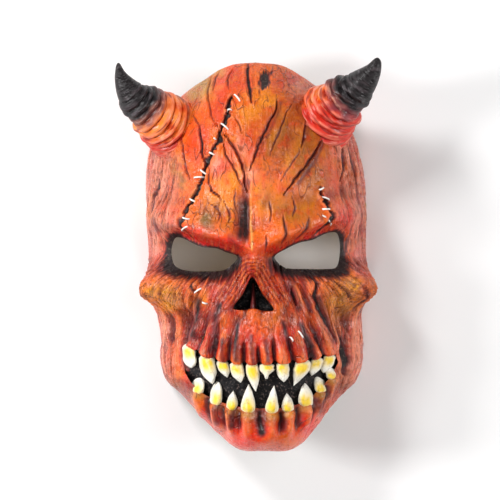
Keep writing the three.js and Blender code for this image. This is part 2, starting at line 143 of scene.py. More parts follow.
# Forms of the face
# The sculptor's clay forms, which the mould took: brows, sockets, cheekbones, the nose and mouth openings,
# the gums with a ridge over each tooth's root, and the big folds. Each is a height out of the head form.
LEFT_EYE = [
    (-13.5, -1), (-21, 1.8), (-28, 4.6), (-38, 5.6), (-45, 8.5), (-51, 11.5), (-56, 12),
    (-58.5, 7), (-59, 0), (-56.5, -7.5), (-48, -10.8), (-36, -11.2), (-23, -10.3), (-16, -5.5),
]
RIGHT_EYE = [
    (12, -1), (14.5, -5.5), (20.5, -9), (33, -9.6), (46, -9.7), (54.5, -8.5),
    (57, 0), (57, 9), (54.5, 15.5), (47, 14.6), (38, 10.4), (29, 8.4), (20, 4.2),
]
NOSE = [
    (-3.4, -15.2), (-10, -27), (-16.3, -36.5), (-9, -37.8), (-2.5, -36.6), (4, -38.2), (11.4, -37.6),
    (4, -27),
]
UPPER_GUM = [
    (-52, -60.5), (-46, -64), (-39, -69.4), (-28, -72.8), (-16, -75), (0, -75.8),
    (13, -74.8), (26, -74.6), (37, -73), (46, -70.8), (54, -68.5),
]
LOWER_GUM = [
    (-52.5, -80), (-46, -91.5), (-38, -99), (-28, -104), (-17, -107.3), (-6, -109),
    (10, -109.4), (21, -108.4), (34, -104.6), (44, -95.5), (51.5, -86.5), (56, -78),
]
MOUTH = LOWER_GUM + UPPER_GUM[::-1]
SOCKET_DEPTH = 9
MOUTH_DEPTH = 8
NOSE_DEPTH = 11

# Teeth from left to right: place, width, length, lean of the tip to the right, bluntness of the tip
UPPER_TEETH = [
    (-47, 9.4, 14.5, 1.8, 1.5), (-34.8, 11.4, 18, 4.2, 0.5), (-23.8, 8.4, 10.5, 3.4, 0.35),
    (-14.1, 9.6, 12.5, 2.8, 0.5), (-3.4, 9.2, 18, 2.6, 0.1), (6.7, 10.2, 7.5, 0, 0.8),
    (17.6, 9.0, 12.5, 0.8, 0.6), (31.6, 11.4, 16, -6.4, 0.0), (41.4, 9, 11, -4, 0.4),
    (49.8, 9, 11.5, -4, 0.9),
]
LOWER_TEETH = [
    (-41, 8.6, 13.5, 1.2, 1.4), (-28.3, 8.4, 19, 0.8, 0.7), (-17.7, 8, 14, 1.4, 0.25),
    (-6.1, 10.4, 20.5, 0.4, 0.1), (9.9, 9.2, 20, 1.8, 0.05), (21.4, 8.6, 13.5, -1, 0.3),
    (33.7, 10, 17.5, -0.8, 0.4), (44.2, 8.2, 13.5, -2.8, 1.0), (51.8, 7.6, 9.5, -3, 1.3),
]
# Where the lines of the roots would meet, and how long the ridges over the roots are
UPPER_ROOTS_MEET = (-3, 52)
LOWER_ROOTS_MEET = (4, -240)
UPPER_ROOT_LENGTH = 26
LOWER_ROOT_LENGTH = 19
LEFT_BROW = [(-7, 7), (-20, 13), (-36, 18.5), (-52, 23.5), (-64, 25)]
RIGHT_BROW = [(1.5, 7), (15, 13), (31, 19.5), (47, 26.5), (62, 29)]

# Ridges and folds: the path, half width and height, below zero for a hollow
FOLDS = [
    (LEFT_BROW, 9, 6),
    (RIGHT_BROW, 9, 6),
    ([(-3, -8), (-23, -42)], 6, 4),
    ([(-2, -8), (18, -43)], 6, 4),
    ([(-7.4, 32), (-6.8, 10), (-4.8, -2)], 4.6, -3.6),
    ([(-6, 34), (-17, 62), (-26, 82)], 5, -1.6),
    ([(6, 36), (18, 66), (24, 84)], 5, -1.6),
    ([(-51, -42), (-53, -60), (-51, -78)], 5, -4.5),
    ([(59, -44), (62, -62), (60, -80)], 5, -4),
    ([(-60, -38), (-64, -62), (-58, -86)], 5, 2.2),
    ([(67, -38), (70, -62), (64, -84)], 5, 2.2),
]
# Mounds: height, below zero for a hollow, then place and half sizes
MOUNDS = [
    (3.5, -20, 12, 12, 13), (3.5, 16, 13, 11, 13), (4, -2.5, -6, 7, 13), (4, -46, -24, 20, 8),
    (4, 48, -23, 20, 8), (-6, -56, -46, 9, 13), (-6, 61, -43, 9, 13), (6.5, 1, -58, 42, 22),
    (4.5, 3, -110, 36, 13), (4.5, 6, -124, 18, 8), (-2.5, -62, 50, 13, 26), (-2.5, 62, 48, 13, 26),
]
CHEEKBONES = [(12, -72, -22, 20, 10.5), (12, 73, -22, 20, 10.5)]
CHEEKBONE_LEVEL = 46


def smooth(value, low, high):
    t = np.clip((value - low) / (high - low), 0, 1)
    return t * t * (3 - 2 * t)


def bump(x, y, cx, cy, rx, ry):
    return np.exp(-(((x - cx) / rx) ** 2) - ((y - cy) / ry) ** 2)


def mounds(x, y, rows):
    """Rounded mounds added up, each given by its height, place and half sizes."""
    return sum(height * bump(x, y, *spot) for height, *spot in rows)


def near_segment(x, y, start, end):
    """Share along a segment that is nearest to a place, and the distance to it."""
    dx, dy = end[0] - start[0], end[1] - start[1]
    share = np.clip(((x - start[0]) * dx + (y - start[1]) * dy) / (dx * dx + dy * dy), 0, 1)
    return share, np.hypot(x - start[0] - share * dx, y - start[1] - share * dy)


def distance_to_path(x, y, path):
    return np.min([near_segment(x, y, start, end)[1] for start, end in zip(path[:-1], path[1:])], axis=0)


def line_along(x, y, path):
    """Distance to a path, and how full the line is there, from thin at its ends to 1."""
    nearest, run, length = np.full(np.shape(x), np.inf), np.zeros(np.shape(x)), 0
    for start, end in zip(path[:-1], path[1:]):
        share, gap = near_segment(x, y, start, end)
        step = np.hypot(end[0] - start[0], end[1] - start[1])
        run = np.where(gap < nearest, length + share * step, run)
        nearest = np.minimum(nearest, gap)
        length = length + step
    return nearest, smooth(np.minimum(run, length - run), -0.5, 0.35 * length)


def stroke(x, y, path, width):
    return np.exp(-((distance_to_path(x, y, path) / width) ** 2))


def fading_ridge(x, y, path, width):
    """A ridge along a straight path, full at its start and gone at its end."""
    share, gap = near_segment(x, y, *path)
    return np.exp(-((gap / width) ** 2)) * (1 - smooth(share, 0.4, 1))


def depth_inside(x, y, outline):
    """How far a point of the front view lies inside an outline, below zero outside it."""
    inside = np.zeros(np.shape(x), bool)
    closed = outline + outline[:1]
    for (ax, ay), (bx, by) in zip(closed[:-1], closed[1:]):
        if ay == by:
            continue
        crosses = (ay > y) != (by > y)
        inside ^= crosses & (x < ax + (bx - ax) * (y - ay) / (by - ay))
    edge = distance_to_path(x, y, closed)
    return np.where(inside, edge, -edge)


def height_over(line, x):
    return np.interp(x, [p[0] for p in line], [p[1] for p in line])


def root_path(x, gum, meet, length):
    """A path from the edge of the gum towards the place where the roots would meet."""
    neck = np.array([x, height_over(gum, x)])
    end = neck + (np.array(meet) - neck) * length / np.hypot(*(np.array(meet) - neck))
    return [tuple(neck), tuple(end)]


def roots_of(teeth, gum, meet, length):
    """The path and half width of the ridge that each tooth's root raises on the gum."""
    return [(root_path(tooth[0], gum, meet, length), tooth[1] * 0.4) for tooth in teeth]


ROOTS = roots_of(UPPER_TEETH, UPPER_GUM, UPPER_ROOTS_MEET, UPPER_ROOT_LENGTH)
ROOTS += roots_of(LOWER_TEETH, LOWER_GUM, LOWER_ROOTS_MEET, LOWER_ROOT_LENGTH)


def relief_at(x, y, z):
    """Height of the forms of the face out of the head form."""
    height = mounds(x, y, MOUNDS)
    height += np.exp(-(((z - CHEEKBONE_LEVEL) / 26) ** 2)) * mounds(x, y, CHEEKBONES)
    for eye in (LEFT_EYE, RIGHT_EYE):
        height -= SOCKET_DEPTH * (1 - smooth(-depth_inside(x, y, eye), 0.5, 10))
    for path, width in ROOTS:
        height += 3.2 * fading_ridge(x, y, path, width) - 1.1 * fading_ridge(x, y, path, width * 2)
    for path, width, rise in FOLDS:
        height += rise * stroke(x, y, path, width)
    return height


# Skin detail
# The finer modelling in the clay: furrows, the two stitched scars, cracks, and the fibres that run over the
# skin like dried muscle. The black wash that the painter wiped into each cut is kept beside its depth.
def lattice(ix, iy, seed):
    """A fixed number from 0 to 1 for each whole place of a grid."""
    stirred = (ix * 374761393 + iy * 668265263 + seed * 974634777) & 0xFFFFFFFF
    stirred = ((stirred ^ (stirred >> 13)) * 1274126177) & 0xFFFFFFFF
    return ((stirred ^ (stirred >> 16)) & 0xFFFF) / 0xFFFF


def noise(x, y, seed):
    """Smooth noise from -1 to 1 with swells about one unit across."""
    ix = np.floor(x).astype(np.int64)
    iy = np.floor(y).astype(np.int64)
    tx = smooth(x - ix, 0, 1)
    ty = smooth(y - iy, 0, 1)
    below = lattice(ix, iy, seed) * (1 - tx) + lattice(ix + 1, iy, seed) * tx
    above = lattice(ix, iy + 1, seed) * (1 - tx) + lattice(ix + 1, iy + 1, seed) * tx
    return 2 * (below * (1 - ty) + above * ty) - 1


# Furrows and cracks: the path, half width, depth, strength of the black wash, width of its smoky edge
FURROWS = [
    ([(-6, 134), (-6.5, 125), (-5, 112.5), (-4, 105)], 1.3, 1.1, 1.1, 2.2),
    ([(14, 106.5), (13.5, 101), (9, 91.5), (2.5, 78), (-1, 69.5), (-5, 59)], 0.9, 1.4, 0.86, 3.4),
    ([(23.5, 103.5), (19.5, 96.5), (17, 89), (13, 79.5), (8.5, 67.5)], 0.7, 0.9, 0.72, 1.4),
    ([(36.5, 95.5), (33.5, 88.5), (32.5, 80.5), (31, 73)], 0.9, 1.2, 0.72, 3.8),
    ([(31, 73), (26.5, 66.5), (19, 56), (16, 49.5)], 0.65, 0.8, 0.72, 1.2),
    ([(45.5, 82.5), (43.5, 77), (39.5, 70), (32.5, 59.5), (25.5, 51.5), (18, 41)], 0.85, 1.7, 0.9, 3.6),
    ([(-23.5, 83), (-21, 81.5), (-15, 73), (-10.5, 62), (-8.5, 49.5), (-6.5, 44)], 0.9, 1.6, 0.7, 3.6),
    ([(-23.5, 80.5), (-22.5, 69.5), (-17.5, 62), (-12.5, 51.5), (-7.5, 45)], 0.7, 1.0, 0.76, 1.0),
    ([(-40, 89), (-39, 82.5), (-37.5, 77), (-38, 70.5), (-35, 63)], 1.0, 1.2, 1.05, 1.2),
    ([(-44, 96), (-42, 92), (-40, 89)], 0.8, 0.7, 0.8, 0.8),
    ([(-32.5, 56.5), (-33, 49.5), (-30.5, 43.5), (-26, 40)], 0.8, 0.9, 0.95, 0.8),
    ([(-33.5, 45), (-27.5, 42), (-24, 36.5)], 0.7, 0.7, 0.8, 0.8),
    ([(-33, 36), (-27.5, 33), (-25, 28), (-26, 22)], 0.7, 0.7, 0.8, 0.8),
    ([(-22.5, 37.5), (-19.5, 31), (-18.5, 25.5), (-20.5, 18.5)], 0.7, 0.7, 0.8, 0.8),
    ([(-14.5, 48), (-16, 38), (-14, 30)], 0.7, 0.7, 0.8, 0.8),
    ([(8, 38), (10, 30), (8.5, 22)], 0.7, 0.7, 0.8, 0.8),
    ([(24, 40), (26, 33), (24, 26)], 0.7, 0.7, 0.8, 0.8),
    ([(-26, 128), (-29, 120), (-30, 113)], 0.7, 0.7, 0.8, 0.8),
    ([(-17, 128), (-20, 121), (-19, 114)], 0.7, 0.7, 0.7, 0.8),
    ([(-32, 122.5), (-33.5, 115), (-34, 107), (-31.5, 96.5), (-27.5, 88)], 0.65, 0.9, 0.74, 0.9),
    ([(-52.5, 83.5), (-51.5, 74.5), (-49.5, 59), (-46.5, 52)], 0.8, 1.5, 0.62, 2.0),
    ([(-15, 96), (-11.5, 88), (-10.5, 83.5)], 0.7, 0.7, 0.7, 0.7),
    ([(-70, 57.5), (-69.5, 47), (-72.5, 40.5), (-72, 30.5), (-71, 19.5)], 1.0, 1.2, 0.95, 1.2),
    ([(58.5, 77), (61, 68), (61.5, 59), (58, 51)], 0.9, 1.2, 0.95, 1.2),
    ([(64, 77), (66, 68), (69, 59), (71, 48.5)], 0.9, 1.2, 0.95, 1.2),
    ([(17.5, 26.5), (18, 21), (18.5, 15), (16.5, 7.5)], 0.9, 1.2, 0.9, 2.4),
    ([(34, 25.5), (32, 20), (29.5, 13), (27, 9.5)], 1.2, 1.1, 0.8, 3.4),
    ([(6.5, 14), (5.5, 3)], 0.7, 0.8, 0.8, 0.7),
    ([(-44, -16), (-43.5, -21), (-41, -25.5)], 1.2, 1.3, 1.0, 1.6),
    ([(37, -10), (40, -19.5), (37.5, -28), (40.5, -34.5), (46, -45), (52.5, -57.5)], 1.5, 1.8, 1.1, 2.2),
    ([(24, -22.5), (24.5, -28), (26, -34)], 1.2, 1.2, 0.95, 1.8),
    ([(-53.5, -58.5), (-53, -70), (-51.5, -80)], 2.0, 1.6, 1.1, 2.6),
    ([(58, -47), (61, -60), (63, -72), (62, -82)], 2.4, 1.8, 1.2, 3.0),
    ([(64, -20), (68.5, -29), (66.5, -39)], 0.8, 1.0, 0.95, 1.2),
    ([(46.5, -14), (55.5, -24), (65, -34)], 0.8, 0.9, 0.85, 1.0),
    ([(-72, -16), (-69.5, -30), (-63.5, -39)], 0.6, 0.8, 0.5, 0.6),
    ([(-56.5, -14), (-60, -25), (-56, -37)], 0.6, 0.8, 0.45, 0.6),
    ([(-48.5, -15), (-50.5, -25), (-47.5, -35)], 0.6, 0.8, 0.5, 0.6),
]
# Smoky bands: the path, half width, strength of the black wash
SMOKE = [
    ([(-7, 50), (-8.6, 38)], 3.2, 0.5),
    ([(-14, 34), (-13, 8)], 3.2, 0.34),
    ([(-16, 13), (-13, 6)], 4, 0.4),
    ([(-39, -31), (-41, -42), (-43.5, -56)], 3.6, 0.8),
    ([(-24.5, -34), (-27, -50), (-29.5, -66)], 2.8, 0.72),
    ([(-22, -58), (-22.4, -66), (-22, -74)], 2.1, 0.6),
    ([(-12.8, -48), (-13.4, -60), (-13, -72)], 2.5, 0.72),
    ([(-3.6, -56), (-3, -65), (-1.8, -74)], 1.9, 0.58),
    ([(5.7, -58), (6.8, -66), (8, -73)], 1.8, 0.56),
    ([(17, -46), (20, -58), (23.6, -70)], 2.0, 0.64),
    ([(29, -48), (33.5, -58), (37.5, -70)], 2.4, 0.7),
    ([(40, -30), (45, -42), (52, -58)], 3.6, 0.66),
    ([(14.5, -2), (18, -12)], 3.2, 0.8),
    ([(-15.5, -2), (-18.5, -10)], 2.6, 0.6),
    ([(21, -14), (24, -24), (28, -36)], 2.6, 0.6),
    ([(30, -14), (32, -26), (36, -38)], 2.2, 0.5),
    ([(-25.7, -103), (-25, -114)], 2.4, 0.6),
    ([(-14.6, -106), (-14.6, -115)], 2.4, 0.55),
    ([(2, -108), (3, -119)], 3.4, 0.84),
    ([(16, -108), (16.5, -117)], 2.4, 0.6),
    ([(27, -105), (27, -115)], 2.6, 0.6),
    ([(40, -100), (41, -108)], 2.4, 0.5),
    ([(-68, 24), (-66, 17)], 2.6, 0.5),
    ([(16.5, 105), (11.5, 91.5), (5, 78), (1.5, 69.5)], 2.4, 0.36),
    ([(47, 80), (41.5, 68), (35, 58), (28.5, 50)], 2.4, 0.5),
    ([(38, 95), (35.5, 88), (34, 80)], 2.2, 0.36),
    ([(-19.5, 78), (-12.5, 70), (-7.5, 58)], 2.4, 0.38),
]
# Scars: the path, half width, depth
SCARS = [
    ([
        (-18, 109.5), (-19.5, 102.5), (-20.5, 94), (-23.5, 89.5), (-26, 85), (-26.5, 80.5), (-29, 73.5),
        (-34, 65), (-35.5, 57), (-39.5, 47), (-45, 37.5), (-47, 33), (-47.5, 28.5), (-49, 17.5), (-49, 12),
    ], 1.1, 1.6),
    ([(44.5, 45.5), (44.5, 40.5), (47.5, 35), (47, 30.5), (48, 26), (47, 21.5), (44, 14)], 1.2, 1.6),
]
# Skin that is plain between the fibres, skin with pebbles and skin with arcs: strength, place, half sizes
PLAIN_SKIN = [(1, 1, -54, 20, 14), (0.8, -27, -28, 9, 8), (0.7, 71, -22, 9, 10), (0.7, -72, -17, 7, 8)]
PEBBLED_SKIN = [
    (1, 2, -50, 19, 9), (1.4, 70, -22, 11, 11), (1, 44, -104, 10, 12), (1, -26, -24, 12, 11),
    (1.4, -72, -17, 8, 9), (0.8, 34, 108, 14, 16), (0.7, -52, 60, 9, 22), (0.8, 8, 60, 12, 9),
]
ARCHED_SKIN = [(1, -60, -24, 19, 12), (1, 58, -26, 19, 12)]
DAB = (5.5, 121)  # place of the black dab on the forehead
CREST = [(-4, 50), (-4.3, 36), (-4.4, 20), (-3.2, 4)]  # path of the thin pale crest between the brows
GUM_GROOVE_WIDTH = 1.5
UPPER_GROOVE_LENGTH = 29
LOWER_GROOVE_LENGTH = 17
RIM_FADE = 16  # height over the rim where the forms are full


def middles(teeth):
    """Places of the gaps between neighbouring teeth."""
    return [(left[0] + right[0]) / 2 for left, right in zip(teeth[:-1], teeth[1:])]


def grooves_between(teeth, gum, meet, length):
    """Paths of the grooves between the roots of neighbouring teeth, longer towards the sides."""
    return [root_path(x, gum, meet, length * (0.6 + abs(x) / 60)) for x in middles(teeth)]


GUM_GROOVES = grooves_between(UPPER_TEETH, UPPER_GUM, UPPER_ROOTS_MEET, UPPER_GROOVE_LENGTH)
GUM_GROOVES += grooves_between(LOWER_TEETH, LOWER_GUM, LOWER_ROOTS_MEET, LOWER_GROOVE_LENGTH)


def temple_share(x, y):
    """1 on the temples and the sides of the jaw, where the fibres hang straight down."""
    return smooth(np.abs(x + 1), 50, 62) * (smooth(y, -4, 14) + 1 - smooth(y, -50, -36))


def cheek_share(x, y):
    """1 on the cheeks and beside the nose, where the fibres fan out from the brow."""
    plain = mounds(x, y, PLAIN_SKIN)
    return smooth(-y, -2, 8) * (1 - smooth(-y, 58, 68)) * np.maximum(1 - plain, 0)


def pebble_share(x, y):
    """Above 0 where the skin is covered with small pebbles."""
    return mounds(x, y, PEBBLED_SKIN)


def cheek_arcs(x, y, across):
    """Thin ridges that run down over the cheekbones, from -1 in the grooves to 1 on the crests."""
    share = mounds(x, y, ARCHED_SKIN)
    return np.minimum(1.4 * share, 1) * np.sin(2.5 * across + 0.8 * noise(x / 9, y / 14, 26))


def nose_rolls(x, y):
    """1 on the thin rolls of skin that arch over the nose opening and run down beside it."""
    around = -depth_inside(x, y, NOSE)
    beside = smooth(y, -40, -30) * (1 - smooth(y, 0, 5))
    return smooth(around, 0.3, 1.6) * (1 - smooth(around, 10, 18)) * beside


def unrolled(x, z):
    """Place across the skin, which runs on down the steep sides of the mask."""
    return x + np.sign(x) * np.maximum(58 - z, 0) * smooth(np.abs(x), 35, 60)


def side_share(x, z):
    """1 low on the sides of the mask, which the painter only sprayed over."""
    return (1 - smooth(z, 12, 42)) * smooth(np.abs(x), 38, 58)


def grain_at(x, y, z):
    """Places across and along the fibres of the skin."""
    side = smooth(np.abs(x - 1), 42, 64)
    middle_fan = (50 - np.minimum(y, 5)) / 75
    side_fan = 0.6 + 0.42 * smooth(-y, -5, 32) - 0.2 * smooth(-y, 50, 110)
    fan = middle_fan * (1 - side) + side_fan * side
    fan = fan * (1 - np.maximum(y - 20, 0) / 500)
    return 0.8 * (unrolled(x, z) + 2) / fan, y


def skin_detail(x, y, z):
    """Height of the fine modelling and strength of the black wash."""
    wander_x = x + 0.4 * noise(x / 2.6, y / 2.6, 1) + 0.5 * noise(x / 8, y / 8, 19)
    wander_y = y + 0.4 * noise(x / 2.6, y / 2.6, 2) + 0.5 * noise(x / 8, y / 8, 20)
    height = np.zeros_like(x)
    wash = np.zeros_like(x)
    for path, width, depth, strength, smoke in FURROWS:
        gap, full = line_along(wander_x, wander_y, path)
        width = width * (0.55 + 0.45 * full) * (1 + 0.25 * noise(x / 4, y / 4, 28))
        strength = strength * (0.55 + 0.45 * full)
        cut = np.exp(-((gap / width) ** 2))
        height += depth * (0.5 * np.exp(-(((gap - 1.9 * width) / width) ** 2)) - cut)
        wash = np.maximum(wash, strength * np.exp(-((gap / (0.85 * width)) ** 2)))
        wash = np.maximum(wash, 0.4 * strength * np.exp(-((gap / smoke) ** 2)))
    for path, width, depth in SCARS:
        ragged_x = x + 1.2 * noise(x / 3, y / 3, 3) + 0.8 * noise(x / 1.4, y / 1.4, 23)
        ragged_y = y + 1.2 * noise(x / 3, y / 3, 4) + 0.8 * noise(x / 1.4, y / 1.4, 24)
        gap = distance_to_path(ragged_x, ragged_y, path)
        gap = gap / (width * (1 + 0.5 * noise(x / 5, y / 5, 18)))
        height -= depth * (1 - smooth(gap, 0.4, 1.2))
        height += 1.1 * np.exp(-(((gap - 1.8) / 0.6) ** 2))
        wash = np.maximum(wash, 1 - smooth(gap, 0.5, 1.4))
        wash = np.maximum(wash, 0.3 * np.exp(-((gap / 2.2) ** 2)))
    across, along = grain_at(x, y, z)
    temple = temple_share(x, y)
    cheek = cheek_share(x, y)
    strong = np.maximum(temple, cheek)
    rolls = nose_rolls(x, y)
    across = across + 1.6 * noise(x / 11, y / 14, 25)
    fibre = noise(across / 2.2, along / 15, 5) + 0.6 * noise(across / 1.4, along / 9, 6)
    strand = np.abs(noise(across / 5.6, along / 26, 7))
    seam = 1 - smooth(strand, 0, 0.15)
    seam = np.where(temple > cheek, 1 - smooth(strand, 0, 0.08), seam)
    bundles = 0.9 * temple + 1.9 * cheek * (1 - rolls)
    height += bundles * (smooth(strand, 0, 0.55) - 0.6) - 0.7 * strong * seam
    around = -depth_inside(x, y, NOSE)
    height += (0.6 + 0.4 * smooth(y, -22, -14)) * rolls * np.sin(2.3 * around + 0.8 * noise(x / 5, y / 5, 29))
    height += (0.16 + (0.45 - 0.2 * temple) * strong) * fibre + 0.4 * (1 - strong) * noise(x / 7, y / 10, 17)
    height += 0.4 * temple * (0.5 - np.abs(noise(across / 1.7, along / 19, 31)))
    wash = np.maximum(wash, 0.62 * strong * (1 - rolls) * seam * smooth(noise(x / 12, y / 12, 8), -0.2, 0.7))
    height += cheek_arcs(x, y, across)
    for path, width, strength in SMOKE:
        gap = distance_to_path(wander_x, wander_y, path)
        height -= 0.4 * np.exp(-((gap / width) ** 2))
        streaks = 1 + 0.3 * noise(across / 1.3, along / 10, 27)
        wash = np.maximum(wash, strength * streaks * np.exp(-((gap / width) ** 2)))
    channel = np.exp(-(((x + 8.8) / 6.4) ** 2)) * smooth(-4.6 - x, -0.5, 1.2)
    channel = channel * smooth(y, 4, 15) * (1 - smooth(y, 32, 50))
    wash = np.maximum(wash, 0.82 * channel * (1 + 0.15 * noise(x / 1.2, y / 11, 30)))
    wash = wash * (1 - 0.95 * stroke(x, y, CREST, 0.7))
    for path in GUM_GROOVES:
        groove = fading_ridge(wander_x, wander_y, path, GUM_GROOVE_WIDTH)
        height -= 2.4 * groove
        wash = np.maximum(wash, 0.76 * groove)
    for path, width in ROOTS:
        height += 1.1 * fading_ridge(x, y, path, 0.8 * width)
    height += 0.6 * pebble_share(x, y) * (noise(unrolled(x, z) / 1.9, y / 1.9, 9) - 0.3)
    ripple = np.hypot((x - 60) / 0.8, y + 31)
    height += 0.7 * np.exp(-((ripple / 9) ** 2)) * np.sin(1.9 * ripple - 1.5)
    height += 0.9 * stroke(x, y, CREST, 1.1)
    dab = bump(x + 0.25 * (y - DAB[1]), y, DAB[0] + 0.5 * (y - DAB[1]), DAB[1], 4.4, 8.4)
    height -= 1.0 * smooth(dab, 0.3, 0.7)
    for opening, roll in ((MOUTH, 0.9), (NOSE, 1.6), (LEFT_EYE, 1.6), (RIGHT_EYE, 1.6)):
        height -= roll * (1 - smooth(-depth_inside(x, y, opening), -0.6, 1.8)) ** 2
    wash = np.maximum(wash, smooth(dab + 0.35 * noise(x / 0.9, y / 3.5, 10), 0.12, 0.85))
    return height, wash * (1 - 0.7 * side_share(x, z))


def face_point(share, across, detail=True):
    """A point of the face, its height out of the head form, that of the fine modelling, and the wash."""
    form = form_point(share, across)
    x, y, z = np.moveaxis(form, -1, 0)
    fade = smooth(z - section_at(share)[4], 0, RIM_FADE)
    height = relief_at(x, y, z) * fade
    fine, wash = np.zeros_like(x), np.zeros_like(x)
    if detail:
        fine, wash = skin_detail(x, y, z)
        fine = fine * (0.35 + 0.65 * fade)
    height = height + fine
    return form + form_normal(share, across) * height[..., None], height, fine, wash


# Paint
# Rubber paint sprayed over the whole face in soft spots that run into each other, from pale yellow-orange to
# dark red, then pulled along the fibres with a nearly dry brush, with painted shade in the hollows and
# painted highlights on what stands out. Colours are given as they look on a screen.
def screen(red, green, blue):
    """A colour in light, from its screen values."""
    value = np.array([red, green, blue]) / 255
    return np.where(value <= 0.04045, value / 12.92, ((value + 0.055) / 1.055) ** 2.4)


ORANGE = screen(232, 98, 22)
RED = screen(206, 30, 18)
BRIGHT_RED = screen(240, 34, 8)
MAROON = screen(112, 34, 38)
DEEP_RED = screen(140, 20, 16)
ORANGE_RED = screen(220, 60, 22)
YELLOW_ORANGE = screen(240, 142, 24)
BRIGHT_YELLOW = screen(255, 172, 48)
YELLOW_OLIVE = screen(196, 158, 66)
OLIVE = screen(112, 92, 44)
OLIVE_BROWN = screen(160, 92, 26)
PALE_ORANGE = screen(252, 128, 52)
PINK = screen(255, 160, 132)
PINK_RED = screen(222, 78, 66)
MAUVE = screen(226, 130, 128)
DARK_MAUVE = screen(92, 64, 78)
BROWN_RED = screen(110, 28, 18)
CRIMSON = screen(232, 28, 36)

# Sprayed spots: the colour, how strong it is, and its soft ellipses as place and half sizes
SPRAYS = [
    (ORANGE_RED, 0.75, [
        (-28, 112, 14, 14), (32, 112, 16, 13), (42, 66, 14, 20), (-42, 74, 9, 18), (12, 74, 14, 10),
    ]),
    (RED, 0.7, [(-17, 122, 10, 8), (51, 45, 10, 13), (-26, 98, 6, 8), (24, 122, 10, 7)]),
    (YELLOW_ORANGE, 0.75, [
        (5, 107, 14, 8), (-6, 96, 12, 8), (-18, 52, 12, 9), (-22, 32, 14, 10), (20, 29, 11, 9),
        (6, 38, 7, 14), (31, 34, 6, 7), (-58, 42, 6, 8), (24, 62, 8, 8),
    ]),
    (YELLOW_OLIVE, 0.75, [(-40, 115, 8, 10), (-33, 124, 9, 5), (-57, 60, 5, 13)]),
    (PINK, 0.55, [(-4, 54, 7, 9), (27, 114, 6, 8), (-10, 76, 5, 8), (-30, 64, 5, 8)]),
    (PINK_RED, 0.7, [(-24, 60, 6, 9), (50, 82, 9, 9), (-40, 84, 4, 6)]),
    (OLIVE_BROWN, 0.72, [(26, 84, 26, 28), (38, 52, 16, 20), (28, 26, 14, 7)]),
    (OLIVE_BROWN, 0.3, [(-26, 27, 14, 8), (-25, 19, 11, 8)]),
    (OLIVE_BROWN, 0.55, [(16, 34, 13, 9)]),
    (ORANGE_RED, 0.3, [(1, 86, 10, 10)]),
    (DEEP_RED, 0.3, [(30, 94, 12, 14)]),
    (DEEP_RED, 0.18, [(0, 84, 16, 18), (0, -116, 26, 6), (-3, -130, 16, 6)]),
    (OLIVE_BROWN, 0.8, [(17, 88, 5, 12), (12, 75, 4, 8), (36, 88, 4, 11), (31, 72, 4, 9), (47, 80, 4, 10)]),
    (OLIVE, 0.85, [(-36, 19, 5, 7), (-42, 43, 3, 6), (-53, 53, 4, 5)]),
    (RED, 0.95, [(-21, 7, 17, 6), (-44, 15, 14, 5), (13, 2, 11, 4), (46, 15, 13, 5), (60, 27, 8, 8)]),
    (ORANGE, 0.9, [(7, 14, 6, 9)]),
    (PINK_RED, 0.9, [(-70, 4, 8, 17), (66, 74, 10, 12), (-62, 74, 7, 12), (-60, 30, 8, 30)]),
    (PINK, 0.9, [(-73, 52, 9, 34), (-72, 8, 6, 12), (56, 78, 5, 8)]),
    (MAUVE, 0.85, [(73, 42, 8, 32), (72, 0, 7, 16), (74, -66, 8, 26)]),
    (ORANGE, 0.7, [(-64, 34, 6, 12), (62, 60, 5, 12)]),
    (DARK_MAUVE, 0.75, [(-67, 21, 7, 4)]),
    (RED, 0.95, [(-3, -14, 15, 16)]),
    (PINK_RED, 0.95, [(-27, -21, 16, 10)]),
    (RED, 0.8, [(20, -24, 10, 10), (-20, -36, 8, 8)]),
    (RED, 0.85, [(38, -26, 16, 14), (28, -16, 12, 6)]),
    (DEEP_RED, 0.75, [
        (-28, -16, 9, 4), (25, -24, 9, 12), (44, -40, 8, 10), (-24, -27, 10, 7), (-36, -22, 6, 6),
    ]),
    (RED, 0.95, [(-34, -52, 26, 17), (34, -54, 28, 18), (0, -60, 30, 13), (-52, -44, 12, 12)]),
    (ORANGE, 0.95, [(-68, -25, 11, 10), (67, -26, 12, 11), (-46, -26, 8, 8)]),
    (YELLOW_ORANGE, 0.9, [
        (-62, -28, 9, 7), (-50, -24, 6, 8), (60, -31, 10, 9), (72, -24, 6, 7), (-40, -30, 5, 8),
    ]),
    (OLIVE, 0.8, [(60, -31, 3, 4), (66, -33, 3, 5)]),
    (ORANGE, 0.85, [(5, -45, 15, 7), (-22, -46, 7, 8)]),
    (OLIVE_BROWN, 0.6, [(10, -42, 12, 4), (-52, -32, 5, 5)]),
    (PINK_RED, 0.85, [(-64, -64, 7, 24), (66, -66, 7, 26), (60, -96, 8, 10), (-14, -52, 9, 7)]),
    (PINK, 0.9, [(-71, -66, 6, 24), (74, -66, 6, 26)]),
    (DARK_MAUVE, 0.5, [(-68, -60, 4, 18), (-70, -86, 4, 9), (70, -84, 5, 9)]),
    (ORANGE, 0.6, [(-58, -60, 4, 14), (-54, -92, 5, 7), (42, -62, 4, 9)]),
    (DEEP_RED, 0.8, [(0, -108, 46, 7), (-46, -92, 9, 10), (48, -92, 9, 10)]),
    (RED, 0.8, [(-30, -116, 14, 8), (36, -112, 14, 9), (0, -120, 24, 5)]),
    (BRIGHT_RED, 0.8, [(2, -130, 30, 8), (-30, -112, 10, 8), (36, -112, 10, 8)]),
    (ORANGE, 0.8, [(14, -128, 14, 5), (-8, -122, 6, 5), (24, -106, 4, 5)]),
    (PINK, 0.45, [(-20, -120, 5, 4), (40, -108, 6, 8)]),
]
